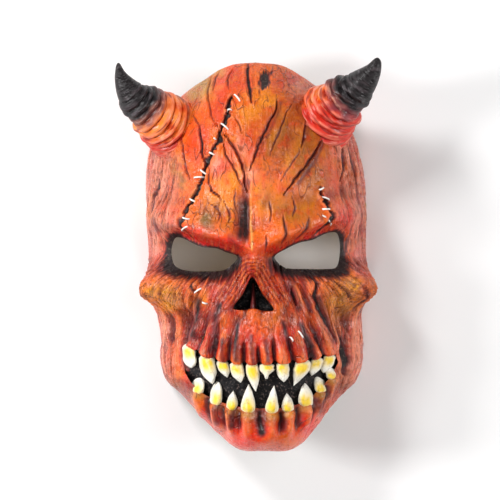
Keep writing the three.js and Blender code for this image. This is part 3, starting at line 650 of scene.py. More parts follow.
# The last spots, sprayed over the shading
ACCENTS = [
    (PALE_ORANGE, 0.9, [(-57, -25, 15, 11), (-74, -20, 7, 7), (62, -26, 14, 11)]),
    (BRIGHT_YELLOW, 1, [(-60, -28, 7, 8), (-71, -27, 5, 6), (57, -32, 9, 9), (70, -24, 7, 6)]),
    (PINK_RED, 0.6, [
        (-31, -25, 9, 7), (-49, -23, 5, 7), (-76, -8, 5, 8), (76, -12, 5, 7), (77, -25, 3, 7),
    ]),
    (ORANGE, 0.8, [(10, -45, 13, 7), (-24, -48, 5, 8), (34, -44, 5, 9), (8, 14, 6, 8), (6, -131, 10, 3)]),
    (OLIVE_BROWN, 0.5, [(12, -44, 10, 4)]),
    (BRIGHT_RED, 0.85, [(-22, 7, 15, 5), (-44, 14, 13, 4), (16, 5, 9, 4), (40, 14, 14, 4), (60, 24, 6, 8)]),
    (RED, 0.6, [(-36, -62, 8, 12), (30, -58, 10, 10)]),
    (MAROON, 0.6, [
        (31, -62, 4, 10), (-4, -64, 4, 9), (-16, -62, 3, 8), (44, -54, 4, 8),
        (22, -44, 4, 8), (-32, -44, 4, 8),
    ]),
    (BROWN_RED, 0.5, [(-46, -92, 8, 8), (46, -90, 8, 8), (0, -112, 24, 5)]),
    (RED, 0.6, [(-3, -14, 13, 12)]),
    (DEEP_RED, 0.4, [(-3, -16, 13, 14), (40, -46, 10, 12)]),
    (BRIGHT_RED, 0.8, [(-6, -128, 18, 8), (-14, -120, 8, 6), (34, -118, 8, 8)]),
    (ORANGE, 0.55, [(20, -127, 10, 6)]),
    (OLIVE, 0.75, [(60, -31, 2.4, 3.5), (-36, 20, 4.5, 6)]),
]
CREST_YELLOW = screen(236, 196, 104)
NOSE_RIM = [(-4, -14), (-11, -27), (-17.5, -37.5)]


def mixed(paint, colour, share):
    share = np.clip(share, 0, 1)[..., None]
    return paint * (1 - share) + colour * share


def softened(height, times):
    """Heights of a grid, each averaged with its neighbours a number of times."""
    for _ in range(times):
        padded = np.pad(height, 1, mode="edge")
        height = (padded[:-2, 1:-1] + padded[2:, 1:-1] + padded[1:-1, :-2] + padded[1:-1, 2:]) / 4
    return height


def socket_black(x, y, z):
    """The black wash that fades out of the eye sockets, feathered along the fibres under them."""
    across, along = grain_at(x, y, z)
    feather = 1 + 0.5 * noise(across / 0.8, along / 9, 41)
    corner = smooth(np.abs(x), 48, 58) * (1 - smooth(np.abs(y - 1), 12, 19))
    width = 1.6 + 6.4 * smooth(-y, -1, 8) + 4.6 * corner
    black = np.zeros_like(x)
    for eye in (LEFT_EYE, RIGHT_EYE):
        gap = -depth_inside(x, y, eye)
        black = np.maximum(black, 1.05 - 1.05 * smooth(gap, 0.1 * width, 1.5 * width * feather))
    return black * (1 - 0.8 * side_share(x, z))


def brow_edge(x, y):
    """1 along the lower edges of the brows, which hang over the eyes."""
    edge = np.zeros_like(x)
    for eye in (LEFT_EYE, RIGHT_EYE):
        edge = np.maximum(edge, 1 - smooth(-depth_inside(x, y, eye), 2, 9))
    return edge * smooth(y, -2, 5) * (1 - smooth(np.abs(x), 48, 58))


def sprayed_over(paint, x, y, sprays, hardness, cover=1):
    """Paint with spots sprayed over it, soft at a hardness of 1 and with a firmer edge above."""
    for colour, strength, spots in sprays:
        for cx, cy, rx, ry in spots:
            spot = np.exp(-((((x - cx) / rx) ** 2 + ((y - cy) / ry) ** 2) ** hardness))
            paint = mixed(paint, colour, strength * spot * cover)
    return paint


def skin_paint(x, y, z, fine, proud):
    """Colour of the painted skin and how stranded it is.

    Fine is the height of the fine modelling, and proud how far the skin stands out of its surroundings; from
    both come painted shade in the hollows and painted highlights on what stands out.
    """
    warp_x = x + 4 * noise(x / 9, y / 9, 42) + 1.5 * noise(x / 3, y / 3, 43)
    warp_y = y + 4 * noise(x / 9, y / 9, 44) + 1.5 * noise(x / 3, y / 3, 45)
    paint = sprayed_over(np.broadcast_to(ORANGE, (*x.shape, 3)), warp_x, warp_y, SPRAYS, 1.5)
    side = side_share(x, z)
    cloudy = smooth(noise(z / 10, y / 16, 54), -0.2, 0.8)
    sprayed = mixed(np.broadcast_to(PINK_RED, paint.shape), ORANGE, cloudy)
    sprayed = mixed(sprayed, DEEP_RED, 0.45 * smooth(noise(z / 8, y / 20, 55), 0.1, 0.8))
    paint = mixed(paint, sprayed, 0.85 * side)
    muzzle = smooth(-y, 34, 48) * (1 - smooth(np.abs(x), 50, 62))
    paint = mixed(paint, MAROON, 0.4 * muzzle * smooth(noise(x / 5, y / 11, 51), 0, 0.9))
    paint = mixed(paint, CRIMSON, 0.36 * muzzle * smooth(noise(x / 6, y / 12, 53), -0.3, 0.7))
    paint = mixed(paint, ORANGE, 0.4 * muzzle * smooth(noise(x / 4, y / 9, 52), 0.1, 0.9))
    mottle = noise(x / 5, y / 5, 46) + 0.6 * noise(x / 2.2, y / 2.2, 47)
    paint = mixed(paint, ORANGE_RED, 0.5 * smooth(mottle, 0.1, 1))
    paint = mixed(paint, YELLOW_ORANGE, 0.25 * smooth(-mottle, 0.2, 1))
    paint = mixed(paint, DARK_MAUVE, 0.5 * stroke(x, y, NOSE_RIM, 1.6))
    across, along = grain_at(x, y, z)
    temple = temple_share(x, y)
    strong = np.maximum(temple, cheek_share(x, y))
    streak = noise(across / 1.5, along / 22, 48) + 0.5 * noise(across / 0.8, along / 14, 49)
    paint = mixed(paint, PINK, 0.8 * temple * smooth(streak, -0.25, 0.6))
    paint = mixed(paint, DARK_MAUVE, 0.25 * temple * smooth(-streak, 0.4, 0.9))
    paint = mixed(paint, ORANGE, 0.45 * (strong - temple) * smooth(streak, 0.3, 1))
    paint = mixed(paint, BROWN_RED, (0.6 - 0.25 * temple) * strong * smooth(-streak, 0.35, 1))
    # Painted shade: brown-red in the hollows of the fine modelling and of the larger forms.
    paint = mixed(paint, BROWN_RED, 0.4 * smooth(-fine, 0.25, 1.2) + 0.6 * smooth(-proud, 0.15, 1.3))
    # Painted highlight, together with a pale dry brush: pale orange, pink on the temples, on what stands out.
    pale = mixed(np.broadcast_to(PALE_ORANGE, paint.shape), PINK, temple)
    paint = mixed(paint, pale, 0.2 * smooth(fine, 0.35, 1) + (0.16 + 0.16 * temple) * smooth(proud, 0.3, 1.4))
    cover = (1 - side) * (0.75 + 0.25 * smooth(proud, -0.6, 0.6))
    paint = sprayed_over(paint, warp_x, warp_y, ACCENTS, 1, cover)
    arcs = cheek_arcs(x, y, across)
    # Painted highlight in pink on the crests of the arcs over the cheekbones, and painted shade in brown-red
    # in their grooves.
    paint = mixed(paint, PINK, 0.5 * smooth(arcs, 0.5, 1))
    paint = mixed(paint, BROWN_RED, 0.6 * smooth(-arcs, 0.7, 1))
    pits = pebble_share(x, y) * smooth(-noise(x / 1.5, y / 1.5, 32), 0.1, 0.6)
    paint = mixed(paint, MAROON, 0.6 * pits)
    rolls = nose_rolls(x, y)
    # Painted shade in deep red in the dips of the rolls beside the nose, and painted highlight in pale orange
    # on their crests.
    paint = mixed(paint, DEEP_RED, 0.8 * rolls * smooth(-fine, 0.05, 0.6))
    paint = mixed(paint, PALE_ORANGE, 0.42 * rolls * smooth(fine, 0.2, 0.6))
    for tooth in LOWER_TEETH:
        base = height_over(LOWER_GUM, tooth[0])
        paint = mixed(paint, YELLOW_OLIVE, 0.5 * bump(x, y, tooth[0], base - 0.5, tooth[1] * 0.55, 3))
    crest = stroke(x + 0.5 * noise(x / 3, y / 6, 50), y, CREST, 0.6)
    paint = mixed(paint, CREST_YELLOW, 0.8 * crest * (1 - 0.7 * smooth(y, 14, 40)))
    edge = brow_edge(x, y)
    paint = mixed(paint, CRIMSON, 0.55 * edge)
    paint = mixed(paint, PALE_ORANGE, 0.6 * edge * smooth(streak, 0.35, 0.8))
    return np.concatenate([paint, np.maximum(strong, 0.8 * edge)[..., None]], axis=-1)


# Skin material
# The paint's look: satin rubber paint, with cracks finer than the modelling, a dry brush of pale paint on
# what stands proud that is also painted highlight, painted highlights along the strands and on the pebbles,
# and the black wash with its ragged edge.
DRY_ORANGE = screen(255, 136, 40)
DRY_BRUSH_AND_HIGHLIGHT_PALE = screen(255, 144, 84)
WEAVE_RED = screen(170, 30, 16)
STRAND_RED = screen(110, 22, 20)
GLINT_HIGHLIGHT_PALE = screen(255, 160, 110)
PEBBLE_RED = screen(140, 34, 20)
PEBBLE_HIGHLIGHT_PALE = screen(255, 160, 92)
CRACK_BROWN = screen(96, 24, 12)
PORE_BROWN = screen(96, 34, 24)
WASH_RED = screen(100, 18, 28)
WASH_BLACK = screen(18, 8, 12)
SCAB_GREY = screen(110, 98, 80)


class Value:
    """An output in a material's nodes. Arithmetic on it adds the nodes that work it out."""

    def __init__(self, tree, socket=None):
        self.tree = tree
        self.socket = socket

    def node(self, kind, inputs=None, output=0, **settings):
        made = self.tree.nodes.new("ShaderNode" + kind)
        for name, value in settings.items():
            setattr(made, name, value)
        for key, value in (inputs or {}).items():
            if isinstance(value, Value):
                self.tree.links.new(value.socket, made.inputs[key])
            else:
                made.inputs[key].default_value = value
        return Value(self.tree, made.outputs[output])

    def attribute(self, name, output):
        """A value that the corners of the mesh carry."""
        index = ("Color", "Vector", "Fac", "Alpha").index(output)
        return self.node("Attribute", attribute_name=name, output=index)

    def position(self):
        """Place on the object, in metres."""
        return self.node("TexCoord", output=3)

    def math(self, operation, first, second=0.0):
        return self.node("Math", {0: first, 1: second}, operation=operation)

    def __add__(self, other):
        return self.math("ADD", self, other)

    def __sub__(self, other):
        return self.math("SUBTRACT", self, other)

    def __rsub__(self, other):
        return self.math("SUBTRACT", other, self)

    def __mul__(self, other):
        return self.math("MULTIPLY", self, other)

    __radd__ = __add__
    __rmul__ = __mul__

    def size(self):
        return self.math("ABSOLUTE", self)

    def at_most(self, limit):
        return self.math("MINIMUM", self, limit)

    def step(self, low, high):
        """0 below low, 1 above high and smooth between, or the other way round."""
        inputs = {"Value": self, "From Min": low, "From Max": high}
        return self.node("MapRange", inputs, interpolation_type="SMOOTHSTEP")

    def blend(self, first, second, share):
        """A mix of two colours, the first at a share of 0 and the second at 1."""
        first, second = (colour if isinstance(colour, Value) else (*colour, 1) for colour in (first, second))
        return self.node("Mix", {0: share, 6: first, 7: second}, output=2, data_type="RGBA")

    def mix(self, other, share):
        return self.blend(self, other, share)

    def noise(self, scale, detail=3.0, stretch=(1, 1, 1)):
        """Noise from 0 to 1 over this vector."""
        stretched = self.node("VectorMath", {0: self, 1: stretch}, operation="MULTIPLY")
        return self.node("TexNoise", {"Vector": stretched, "Scale": scale, "Detail": detail})


def new_material(name):
    material = bpy.data.materials.new(name)
    material.use_nodes = True
    return material, Value(material.node_tree)


def finish_material(material, relief=None, relief_depth=0.0, **looks):
    """Connects colours and values to the surface, and sets the plain ones."""
    surface = material.node_tree.nodes["Principled BSDF"]
    if relief:
        looks["Normal"] = relief.node("Bump", {"Height": relief, "Distance": relief_depth * MM})
    for name, value in looks.items():
        socket = surface.inputs[name.replace("_", " ")]
        if isinstance(value, Value):
            material.node_tree.links.new(value.socket, socket)
        else:
            socket.default_value = value
    return material


def plain_material(name, colour, roughness):
    return finish_material(new_material(name)[0], Base_Color=(*colour, 1), Roughness=roughness)


def skin_material():
    material, nodes = new_material("skin_paint")
    position = nodes.position()
    grain = nodes.attribute("grain", "Vector")
    fine = nodes.node("SeparateXYZ", {0: grain}, output=2)
    strands = nodes.attribute("paint", "Alpha")
    wash = nodes.attribute("wash", "Fac")

    weave = grain.noise(1.0, 3.0, (0.8, 0.1, 0)) * (0.3 + 0.7 * strands)
    weave = weave + position.noise(330.0, 3.0) * (0.7 - 0.7 * strands)
    hair = grain.noise(1.0, 1.0, (1.8, 0.16, 0))
    glint = hair.step(0.56, 0.66) * (0.25 + 0.75 * strands)
    crease = (position.noise(170.0, 0.6, (1, 0.24, 1)) - 0.5).size()
    creased = position.noise(60.0, 1.0).step(0.5, 0.6) * (1.0 - 0.7 * strands)
    crack = crease.step(0.03, 0.006) * creased
    lip = crease.step(0.1, 0.03) * creased
    split = (grain.noise(1.0, 2.0, (0.3, 0.035, 0)) - 0.5).size().step(0.02, 0.002) * strands
    pebble = position.noise(620.0, 2.0)
    pebbled = position.noise(38.0, 1.0).step(0.4, 0.6) * (1.0 - 0.5 * strands)
    grit = position.noise(1500.0, 2.0)
    patch = position.noise(240.0, 4.0)
    pores = position.noise(800.0, 2.0).step(0.62, 0.72)

    colour = nodes.attribute("paint", "Color")
    colour = colour.mix(DRY_ORANGE, 0.3 * patch.step(0.5, 0.75) * weave.step(0.45, 0.7))
    colour = colour.mix(WEAVE_RED, 0.45 * weave.step(0.42, 0.2))
    colour = colour.mix(STRAND_RED, 0.45 * hair.step(0.46, 0.34) * strands)
    colour = colour.mix(PEBBLE_RED, 0.3 * pebble.step(0.46, 0.34) * pebbled)
    colour = colour.mix(CRACK_BROWN, 0.62 * (crack + split).at_most(1.0))
    # Painted highlight in pale orange on the tops of the pebbles.
    colour = colour.mix(PEBBLE_HIGHLIGHT_PALE, 0.3 * pebble.step(0.56, 0.72) * pebbled)
    # Painted highlight: pale glints along the strands.
    colour = colour.mix(GLINT_HIGHLIGHT_PALE, 0.45 * glint * patch.step(0.4, 0.6))
    # Pale dry brush on what stands proud, which is also painted highlight.
    colour = colour.mix(DRY_BRUSH_AND_HIGHLIGHT_PALE, 0.25 * (fine + 0.8 * (weave - 0.5)).step(0.45, 1.0))
    ragged = wash + 0.32 * (patch - 0.5) + 0.2 * (weave - 0.5) + 0.35 * strands * (hair - 0.5)
    scabs = 0.65 * position.noise(700.0, 3.0).step(0.56, 0.7) * wash.step(0.7, 1.0)
    colour = colour.mix(PORE_BROWN, 0.45 * pores)
    colour = colour.mix(WASH_RED, 0.72 * ragged.step(0.1, 0.55))
    colour = colour.mix(nodes.blend(WASH_BLACK, SCAB_GREY, scabs), 0.95 * ragged.step(0.46, 0.86))

    relief = 0.5 * weave + 0.3 * pebble * pebbled + 0.1 * grit + 0.3 * patch + 0.35 * glint
    relief = relief + 0.16 * lip - 0.35 * crack - 0.4 * split - 0.2 * pores
    return finish_material(
        material,
        relief,
        relief_depth=1.1,
        Base_Color=colour,
        Roughness=0.18 + 0.2 * patch + 0.16 * wash,
        Specular_IOR_Level=0.46,
    )


skin = skin_material()


# Casting
# The painted side of the sheet. It starts as a flat grid whose corners are moved on to the face, and it is
# closed behind by a plain back, which the hollow side then takes away.
ROWS = 300
COLUMNS = 240
SLOPE_SHARE = 0.45  # how far the columns draw together on the steep sides
SURROUNDINGS = 60  # rounds of averaging that give the height of what lies around
CHIN_CLEFT = 1.5
CHIN_CLEFT_SPOT = (5.6, -136, 8, 6)
# Kind and field of each value that the corners of the facets carry
CORNER_VALUES = {
    "paint": ("FLOAT_COLOR", "color"),
    "grain": ("FLOAT_VECTOR", "vector"),
    "wash": ("FLOAT", "value"),
}


def to_frame(points):
    return (np.asarray(points, float) + BETWEEN_EYES) * MM


def add_corner_values(piece, layers):
    """Gives each corner of each facet the values of its vertex, which later cuts and joins carry along."""
    mesh = piece.data
    at = np.zeros(len(mesh.loops), np.int32)
    mesh.loops.foreach_get("vertex_index", at)
    for name, values in layers.items():
        values = np.reshape(values, (len(mesh.vertices), -1))
        if name == "paint" and values.shape[1] == 3:
            values = np.column_stack([values, np.ones(len(values))])
        kind, field = CORNER_VALUES[name]
        layer = mesh.attributes.new(name, kind, "CORNER")
        layer.data.foreach_set(field, values[at].astype(np.float32).ravel())


def select_only(piece):
    bpy.ops.object.select_all(action="DESELECT")
    piece.select_set(True)
    bpy.context.view_layer.objects.active = piece


def select_vertices(piece, wanted):
    """Selects these vertices and nothing else, in edit mode."""
    select_only(piece)
    mesh = piece.data
    mesh.polygons.foreach_set("select", np.zeros(len(mesh.polygons), bool))
    mesh.edges.foreach_set("select", np.zeros(len(mesh.edges), bool))
    mesh.vertices.foreach_set("select", wanted)
    bpy.ops.object.mode_set(mode="EDIT")
    bpy.ops.mesh.select_mode(type="VERT")


def close_up(piece):
    """Merges what meets, turns the faces outwards and goes back to object mode."""
    bpy.ops.mesh.select_all(action="SELECT")
    bpy.ops.mesh.remove_doubles(threshold=1e-6)
    bpy.ops.mesh.normals_make_consistent(inside=False)
    bpy.ops.object.mode_set(mode="OBJECT")
    return piece


def grid_piece(name, points, material, layers):
    """A flat grid whose corners are moved to rows of points."""
    rows, columns = points.shape[:2]
    bpy.ops.mesh.primitive_grid_add(x_subdivisions=columns - 1, y_subdivisions=rows - 1)
    piece = bpy.context.object
    piece.name = name
    piece.data.vertices.foreach_set("co", to_frame(points).astype(np.float32).ravel())
    piece.data.update()
    add_corner_values(piece, layers)
    piece.data.materials.append(material)
    return piece


def sheet_solid(name, points, material, layers):
    """A sheet over rows of points from the chin up, closed behind from its left to its right edge."""
    piece = grid_piece(name, points, material, layers)
    column = np.arange(points.shape[0] * points.shape[1]) % points.shape[1]
    select_vertices(piece, (column == 0) | (column == points.shape[1] - 1))
    bpy.ops.mesh.bridge_edge_loops()
    return close_up(piece)


def face_grid(rows, columns):
    """Shares down the face and places across it, closer together where it turns away to the sides."""
    even = np.linspace(-1, 1, columns)
    drawn = even * (1 - SLOPE_SHARE) + np.sin(even * np.pi / 2) * SLOPE_SHARE
    return np.meshgrid(np.linspace(1, 0, rows), drawn, indexing="ij")


def face_piece():
    share, across = face_grid(ROWS, COLUMNS)
    points, height, fine, wash = face_point(share, across)
    points[..., 1] += CHIN_CLEFT * bump(points[..., 0], points[..., 1], *CHIN_CLEFT_SPOT)
    points[:, [0, -1], 2] = section_at(share[:, [0, -1]])[4]
    points[[0, -1]] = points[[0, -1], COLUMNS // 2][:, None]
    x, y, z = np.moveaxis(points, -1, 0)
    return sheet_solid("demon_mask", points, skin, {
        "paint": skin_paint(x, y, z, fine, height - softened(height, SURROUNDINGS)),
        "grain": np.stack([*grain_at(x, y, z), fine], -1),
        "wash": np.maximum(wash, socket_black(x, y, z)),
    })


casting = face_piece()


# Mouth and nose
# The mould's mouth is a tray of black gum behind the teeth, and the nose is a pit like that of a skull with
# its septum standing back inside. Both are cut down into the solid face before the teeth are set in.
ABOVE_FACE = 140  # a height that stands clear of the face, for the tools that cut into it
SEARCH_ROUNDS = 6  # rounds that bring a point of the face under its place in the front view
MOUTH_COLUMNS = 110
MOUTH_ROWS = 26
MOUTH_LOWER_LEFT = -49.5
# Height and width of the notches in the edge of the gum between the teeth
UPPER_NOTCH = (2.8, 1.9)
LOWER_NOTCH = (0.364, 1.7)
GUM_OVER_TEETH = 4.2
NOSE_SIDES = 72
NOSE_MIDDLE = np.array([-2.5, -29])
NOSE_FRONT = np.array([-2.5, -27])  # where the height of the nose is taken
# Depth under the front of the nose, and size of the pit there
NOSE_LEVELS = [(-30, 1), (1, 1), (5, 0.97), (9, 0.86), (10.5, 0.75), (11, 0.5)]
# Place up the face, half width, drop behind the face
SEPTUM = np.array([
    (-19, 0.7, 9), (-24, 1.1, 5.5), (-30, 1.4, 3.6), (-37, 1.7, 2.5), (-41, 1.7, 2.5),
])
SEPTUM_X = -2.7
SEPTUM_FRONT_END = -34  # below this place its front keeps its height
SEPTUM_LEVELS = 24
SEPTUM_SIDES = 20
SEPTUM_BROWN = screen(124, 84, 72)
GUM_BLACK = screen(12, 9, 12)
GUM_SPECKLE = screen(124, 106, 100)


def gum_material():
    material, nodes = new_material("mouth_black")
    speckle = nodes.position().noise(700.0, 3.0)
    return finish_material(
        material,
        speckle,
        relief_depth=0.8,
        Base_Color=nodes.blend(GUM_BLACK, GUM_SPECKLE, speckle.step(0.54, 0.8)),
        Roughness=0.45,
        Specular_IOR_Level=0.2,
    )


def cut(piece, tools, operation):
    """Joins tools to a piece, or takes them away from it, and removes them."""
    group = bpy.data.collections.new("tools")
    for tool in tools:
        group.objects.link(tool)
    select_only(piece)
    step = piece.modifiers.new("cut", "BOOLEAN")
    step.operation = operation
    step.solver = "MANIFOLD"
    step.material_mode = "TRANSFER"
    step.operand_type = "COLLECTION"
    step.collection = group
    bpy.ops.object.modifier_apply(modifier=step.name)
    bpy.data.collections.remove(group)
    for tool in tools:
        bpy.data.objects.remove(tool)


def full_turn(sides):
    return np.linspace(0, 2 * np.pi, sides, endpoint=False)


def wrapped_solid(name, rings, material, layers=None):
    """A closed skin over rows of rings, drawn together to a point at both ends."""
    def wrapped(values):
        values = np.concatenate([values[:1], values, values[-1:]])
        return np.concatenate([values, values[:, :1]], axis=1)

    points = wrapped(rings)
    points[0] = points[0, :-1].mean(axis=0)
    points[-1] = points[-1, :-1].mean(axis=0)
    layers = {key: wrapped(values) for key, values in (layers or {}).items()}
    piece = grid_piece(name, points, material, layers)
    select_only(piece)
    bpy.ops.object.mode_set(mode="EDIT")
    return close_up(piece)


def found_over(x, y, point_at):
    """The point of a surface over a place in the front view, and where on the head form it starts."""
    form_x, form_y = x, y
    shares = np.linspace(0, 1, 2001)
    for _ in range(SEARCH_ROUNDS):
        share = np.interp(-np.asarray(form_y, float), -section_at(shares)[0], shares)
        row = section_at(share)
        across = np.clip((form_x - row[2]) / row[1], -0.98, 0.98)
        point = point_at(share, across)
        form_x = form_x + x - point[..., 0]
        form_y = form_y + y - point[..., 1]
    return point, share, across


def surface_at(x, y):
    """The point of the face that shows at a place in the front view, and the way out of the face there."""
    point, share, across = found_over(x, y, lambda *place: face_point(*place, detail=False)[0])
    return point, form_normal(share, across)


def plain_height(x, y, lift):
    """Height of the plain head form, raised by a lift, over a place in the front view."""
    return found_over(x, y, lambda *place: form_point(*place) + lift * form_normal(*place))[0][..., 2]


def closed_outline(outline, count):
    """Places along a smooth closed curve through the points of an outline."""
    around = np.array(outline[-3:] + outline + outline[:4], float)
    gaps = np.linalg.norm(np.diff(around, axis=0), axis=1)
    stops = np.concatenate([[0], np.cumsum(gaps)]) / gaps.sum()
    curve = curve_through(around, gaps)
    return curve(np.linspace(stops[3], stops[-4], count, endpoint=False))


def notches(x, teeth, height, width):
    """Height of the notches in the edge of the gum, one at each gap between teeth."""
    return height * sum(np.exp(-(((x - middle) / width) ** 2)) for middle in middles(teeth))


def mouth_piece():
    """A tool with the mouth's uneven floor, its edge notched between the teeth."""
    sideways = np.linspace(0, 1, MOUTH_COLUMNS)
    upper_x = UPPER_GUM[0][0] + (UPPER_GUM[-1][0] - UPPER_GUM[0][0]) * sideways
    lower_x = MOUTH_LOWER_LEFT + (LOWER_GUM[-1][0] - MOUTH_LOWER_LEFT) * sideways
    upper_y = height_over(UPPER_GUM, upper_x) + notches(upper_x, UPPER_TEETH, *UPPER_NOTCH)
    lower_y = height_over(LOWER_GUM, lower_x) + GUM_OVER_TEETH - notches(lower_x, LOWER_TEETH, *LOWER_NOTCH)
    upwards = np.linspace(0, 1, MOUTH_ROWS)[:, None]
    x = lower_x + (upper_x - lower_x) * upwards
    y = lower_y + (upper_y - lower_y) * upwards
    z = plain_height(x, y, 4 - MOUTH_DEPTH) + 0.7 * noise(x / 3, y / 3, 11)
    tray = np.pad(np.stack([x, y, z], -1), ((1, 1), (1, 1), (0, 0)), mode="edge")
    tray[[0, -1], :, 2] = ABOVE_FACE
    tray[:, [0, -1], 2] = ABOVE_FACE
    piece = grid_piece("mouth_tool", tray, gum_black, {})
    select_vertices(piece, tray[..., 2].ravel() == ABOVE_FACE)
    bpy.ops.mesh.edge_face_add()
    return close_up(piece)


def nose_piece():
    front = surface_at(*NOSE_FRONT)[0][2]
    outline = closed_outline(NOSE, NOSE_SIDES)
    rings = []
    for drop, size in NOSE_LEVELS:
        ring = NOSE_MIDDLE + (outline - NOSE_MIDDLE) * size
        height = front - drop + 0.4 * noise(ring[:, 0] / 2, ring[:, 1] / 2, 12) * (drop > 2)
        rings.append(np.column_stack([ring, height]))
    return wrapped_solid("nose_tool", np.array(rings), gum_black)


def septum_piece():
    turn = full_turn(SEPTUM_SIDES)
    curve = curve_through(SEPTUM, np.abs(np.diff(SEPTUM[:, 0])))
    rings = []
    for y, half, back in curve(np.linspace(0, 1, SEPTUM_LEVELS)):
        front = surface_at(SEPTUM_X, max(y, SEPTUM_FRONT_END))[0][2]
        deep = (NOSE_DEPTH + 5 - back) / 2
        wide = half * (1 + 0.5 * (1 - np.cos(turn)) / 2)
        rise = front - back - deep + deep * np.cos(turn)
        rings.append(np.column_stack([SEPTUM_X + wide * np.sin(turn), y + 0 * turn, rise]))
    rings = np.array(rings)
    return wrapped_solid("septum", rings, skin, {
        "paint": np.broadcast_to(SEPTUM_BROWN, rings.shape),
        "wash": np.full(rings.shape[:2], 0.5),
    })


gum_black = gum_material()
cut(casting, [mouth_piece(), nose_piece()], "DIFFERENCE")
additions = [septum_piece()]


# Teeth
# Nineteen flattened spikes, each standing on the gum line under its own ridge of gum and sunk at the back
# in the floor of the mouth. The sixth upper tooth is broken off short and keeps only a nib.
TOOTH_DEPTH = MOUTH_DEPTH + 5
TOOTH_LEVELS = 20
TOOTH_SIDES = 28
UPPER_PROUD = -0.9  # how far the necks stand out of the gum
LOWER_PROUD = 1.6
UPPER_BASE = -0.2  # where the teeth begin, as a share of their length
LOWER_BASE = -0.05
BROKEN_TOOTH = 6.7  # its place among the upper teeth
NIB_HALF_WIDTH = 1.3
TOOTH_WHITE = screen(246, 242, 232)
TOOTH_YELLOW = screen(248, 208, 40)
CRACK_GREY = screen(150, 128, 110)
STAIN_AND_SHADE_GREY = screen(86, 78, 84)


def enamel_material():
    material, nodes = new_material("tooth_enamel")
    position = nodes.position()
    chips = position.noise(330.0, 4.0)
    crack = (position.noise(170.0, 3.0) - 0.5).size().step(0.012, 0.0)
    # Grey from the wash and the chips: painted shade on the flanks, and random stains.
    stain_and_shade = nodes.attribute("wash", "Fac") + 0.7 * (chips - 0.5)
    colour = nodes.attribute("paint", "Color").mix(CRACK_GREY, 0.5 * crack)
    return finish_material(
        material,
        chips - 0.4 * crack,
        relief_depth=0.35,
        Base_Color=colour.mix(STAIN_AND_SHADE_GREY, stain_and_shade.step(0.35, 0.62)),
        Roughness=0.34 + 0.2 * chips,
    )


def tooth_piece(tooth, gum, direction, proud, base):
    """A tooth whose tip points down for a direction of -1 and up for 1."""
    x, width, length, lean, blunt = tooth
    neck, normal = surface_at(np.array(x), height_over(gum, np.array(x)))
    out = np.array([0, 0, 1])
    aside = np.array([1, 0, -normal[0] / normal[2]])
    turn = full_turn(TOOTH_SIDES)
    levels = np.linspace(base, 1, TOOTH_LEVELS)
    rings = []
    for level in levels:
        beyond = max(level - 0.3, 0) / 0.7
        below = min(level - base - 0.3, 0) / 0.3
        full = (1 - 0.9 * np.abs(below) ** 2.6) * (1 - beyond ** (1.25 + 2.4 * blunt))
        full = max(full, 0.02)
        rise = max(level, 0)
        spine = neck + out * proud * (1 - 1.5 * rise**2) - out * 1.6 * below**2
        spine = spine + np.array([lean * rise**1.5, direction * level * length, 0])
        deep = TOOTH_DEPTH / 2 * full**0.6
        back = TOOTH_DEPTH / 2 - beyond**2 * TOOTH_DEPTH / 6
        wide = width / 2 * full * np.sin(turn) * (1 + 0.09 * noise(turn * 1.3, level * 5 + x, 13))
        front = deep * np.cos(turn) - back + 0.35 * noise(3 * turn + x, level * 4, 14)
        if x == BROKEN_TOOTH:
            nib = smooth(level, 0.5, 0.62)
            wide = wide * (1 - nib) + NIB_HALF_WIDTH * np.sin(turn) * nib * (1.3 - level) / 0.5
            spine = spine + np.array([-0.3 * nib, direction * 2.2 * nib, 0])
        rings.append(spine + wide[:, None] * aside + front[:, None] * out)
    rings = np.array(rings)
    along = levels[:, None] + 0 * turn
    edge = np.abs(np.sin(turn)) + 0 * along
    yellow = 1.1 * np.exp(-(((along - 0.24) / 0.3) ** 2) - (edge / 0.8) ** 4)
    yellow = yellow * (1 + 0.4 * noise(3 * turn + x, along * 6, 15))
    paint = mixed(np.broadcast_to(TOOTH_WHITE, rings.shape), TOOTH_YELLOW, yellow)
    paint = mixed(paint, BROWN_RED, 0.8 * (1 - smooth(along, base + 0.01, base + 0.06)))
    # The wash darkens the flanks where the tooth turns away, as painted shade, and adds random stains.
    wash = 0.4 * smooth(edge, 0.8, 1) + 0.22 * smooth(noise(2 * turn + 3 * x, along * 5, 16), 0.2, 0.8)
    return wrapped_solid("tooth", rings, enamel, {"paint": paint, "wash": wash})


enamel = enamel_material()
additions += [tooth_piece(tooth, UPPER_GUM, -1, UPPER_PROUD, UPPER_BASE) for tooth in UPPER_TEETH]
additions += [tooth_piece(tooth, LOWER_GUM, 1, LOWER_PROUD, LOWER_BASE) for tooth in LOWER_TEETH]


# Horns
# Two ringed horns rise from the forehead, lean outwards and turn up at their tips. Each is modelled over
# its own middle line, with rounded collars that get narrower until the smooth tip.
LEFT_HORN = np.array([
    (-47, 79, 22, 20.5), (-55, 85.5, 36, 20.5), (-63.5, 92, 47, 19.4), (-71.5, 98, 56, 16.6),
    (-78, 103, 61, 13.8), (-85, 109, 66, 10.8), (-89.8, 115.5, 69, 8), (-93.4, 122.5, 71, 4.8),
    (-95, 128.5, 72, 2.4), (-95.4, 132.3, 72.4, 1.5),
])
RIGHT_HORN = np.array([
    (33, 80, 22, 22), (41, 87.5, 38, 22), (49, 97.4, 52, 20.4), (56.6, 104.6, 61, 17.4), (64, 111, 68, 14),
    (70.4, 116.4, 73, 11.2), (75.6, 121.6, 77, 8.6), (79.8, 127, 80, 5.8), (82.2, 132.4, 82, 3.4),
    (82.8, 135.6, 82.6, 2.2),
])
HORN_SIDES = 56
HORN_RINGS = 128
HORN_COLLARS = 17
HORN_TIP = 0.965  # where the tip starts to round off, as a share of the length
HORN_BLACK = screen(24, 18, 20)
HORN_RED = screen(208, 38, 30)
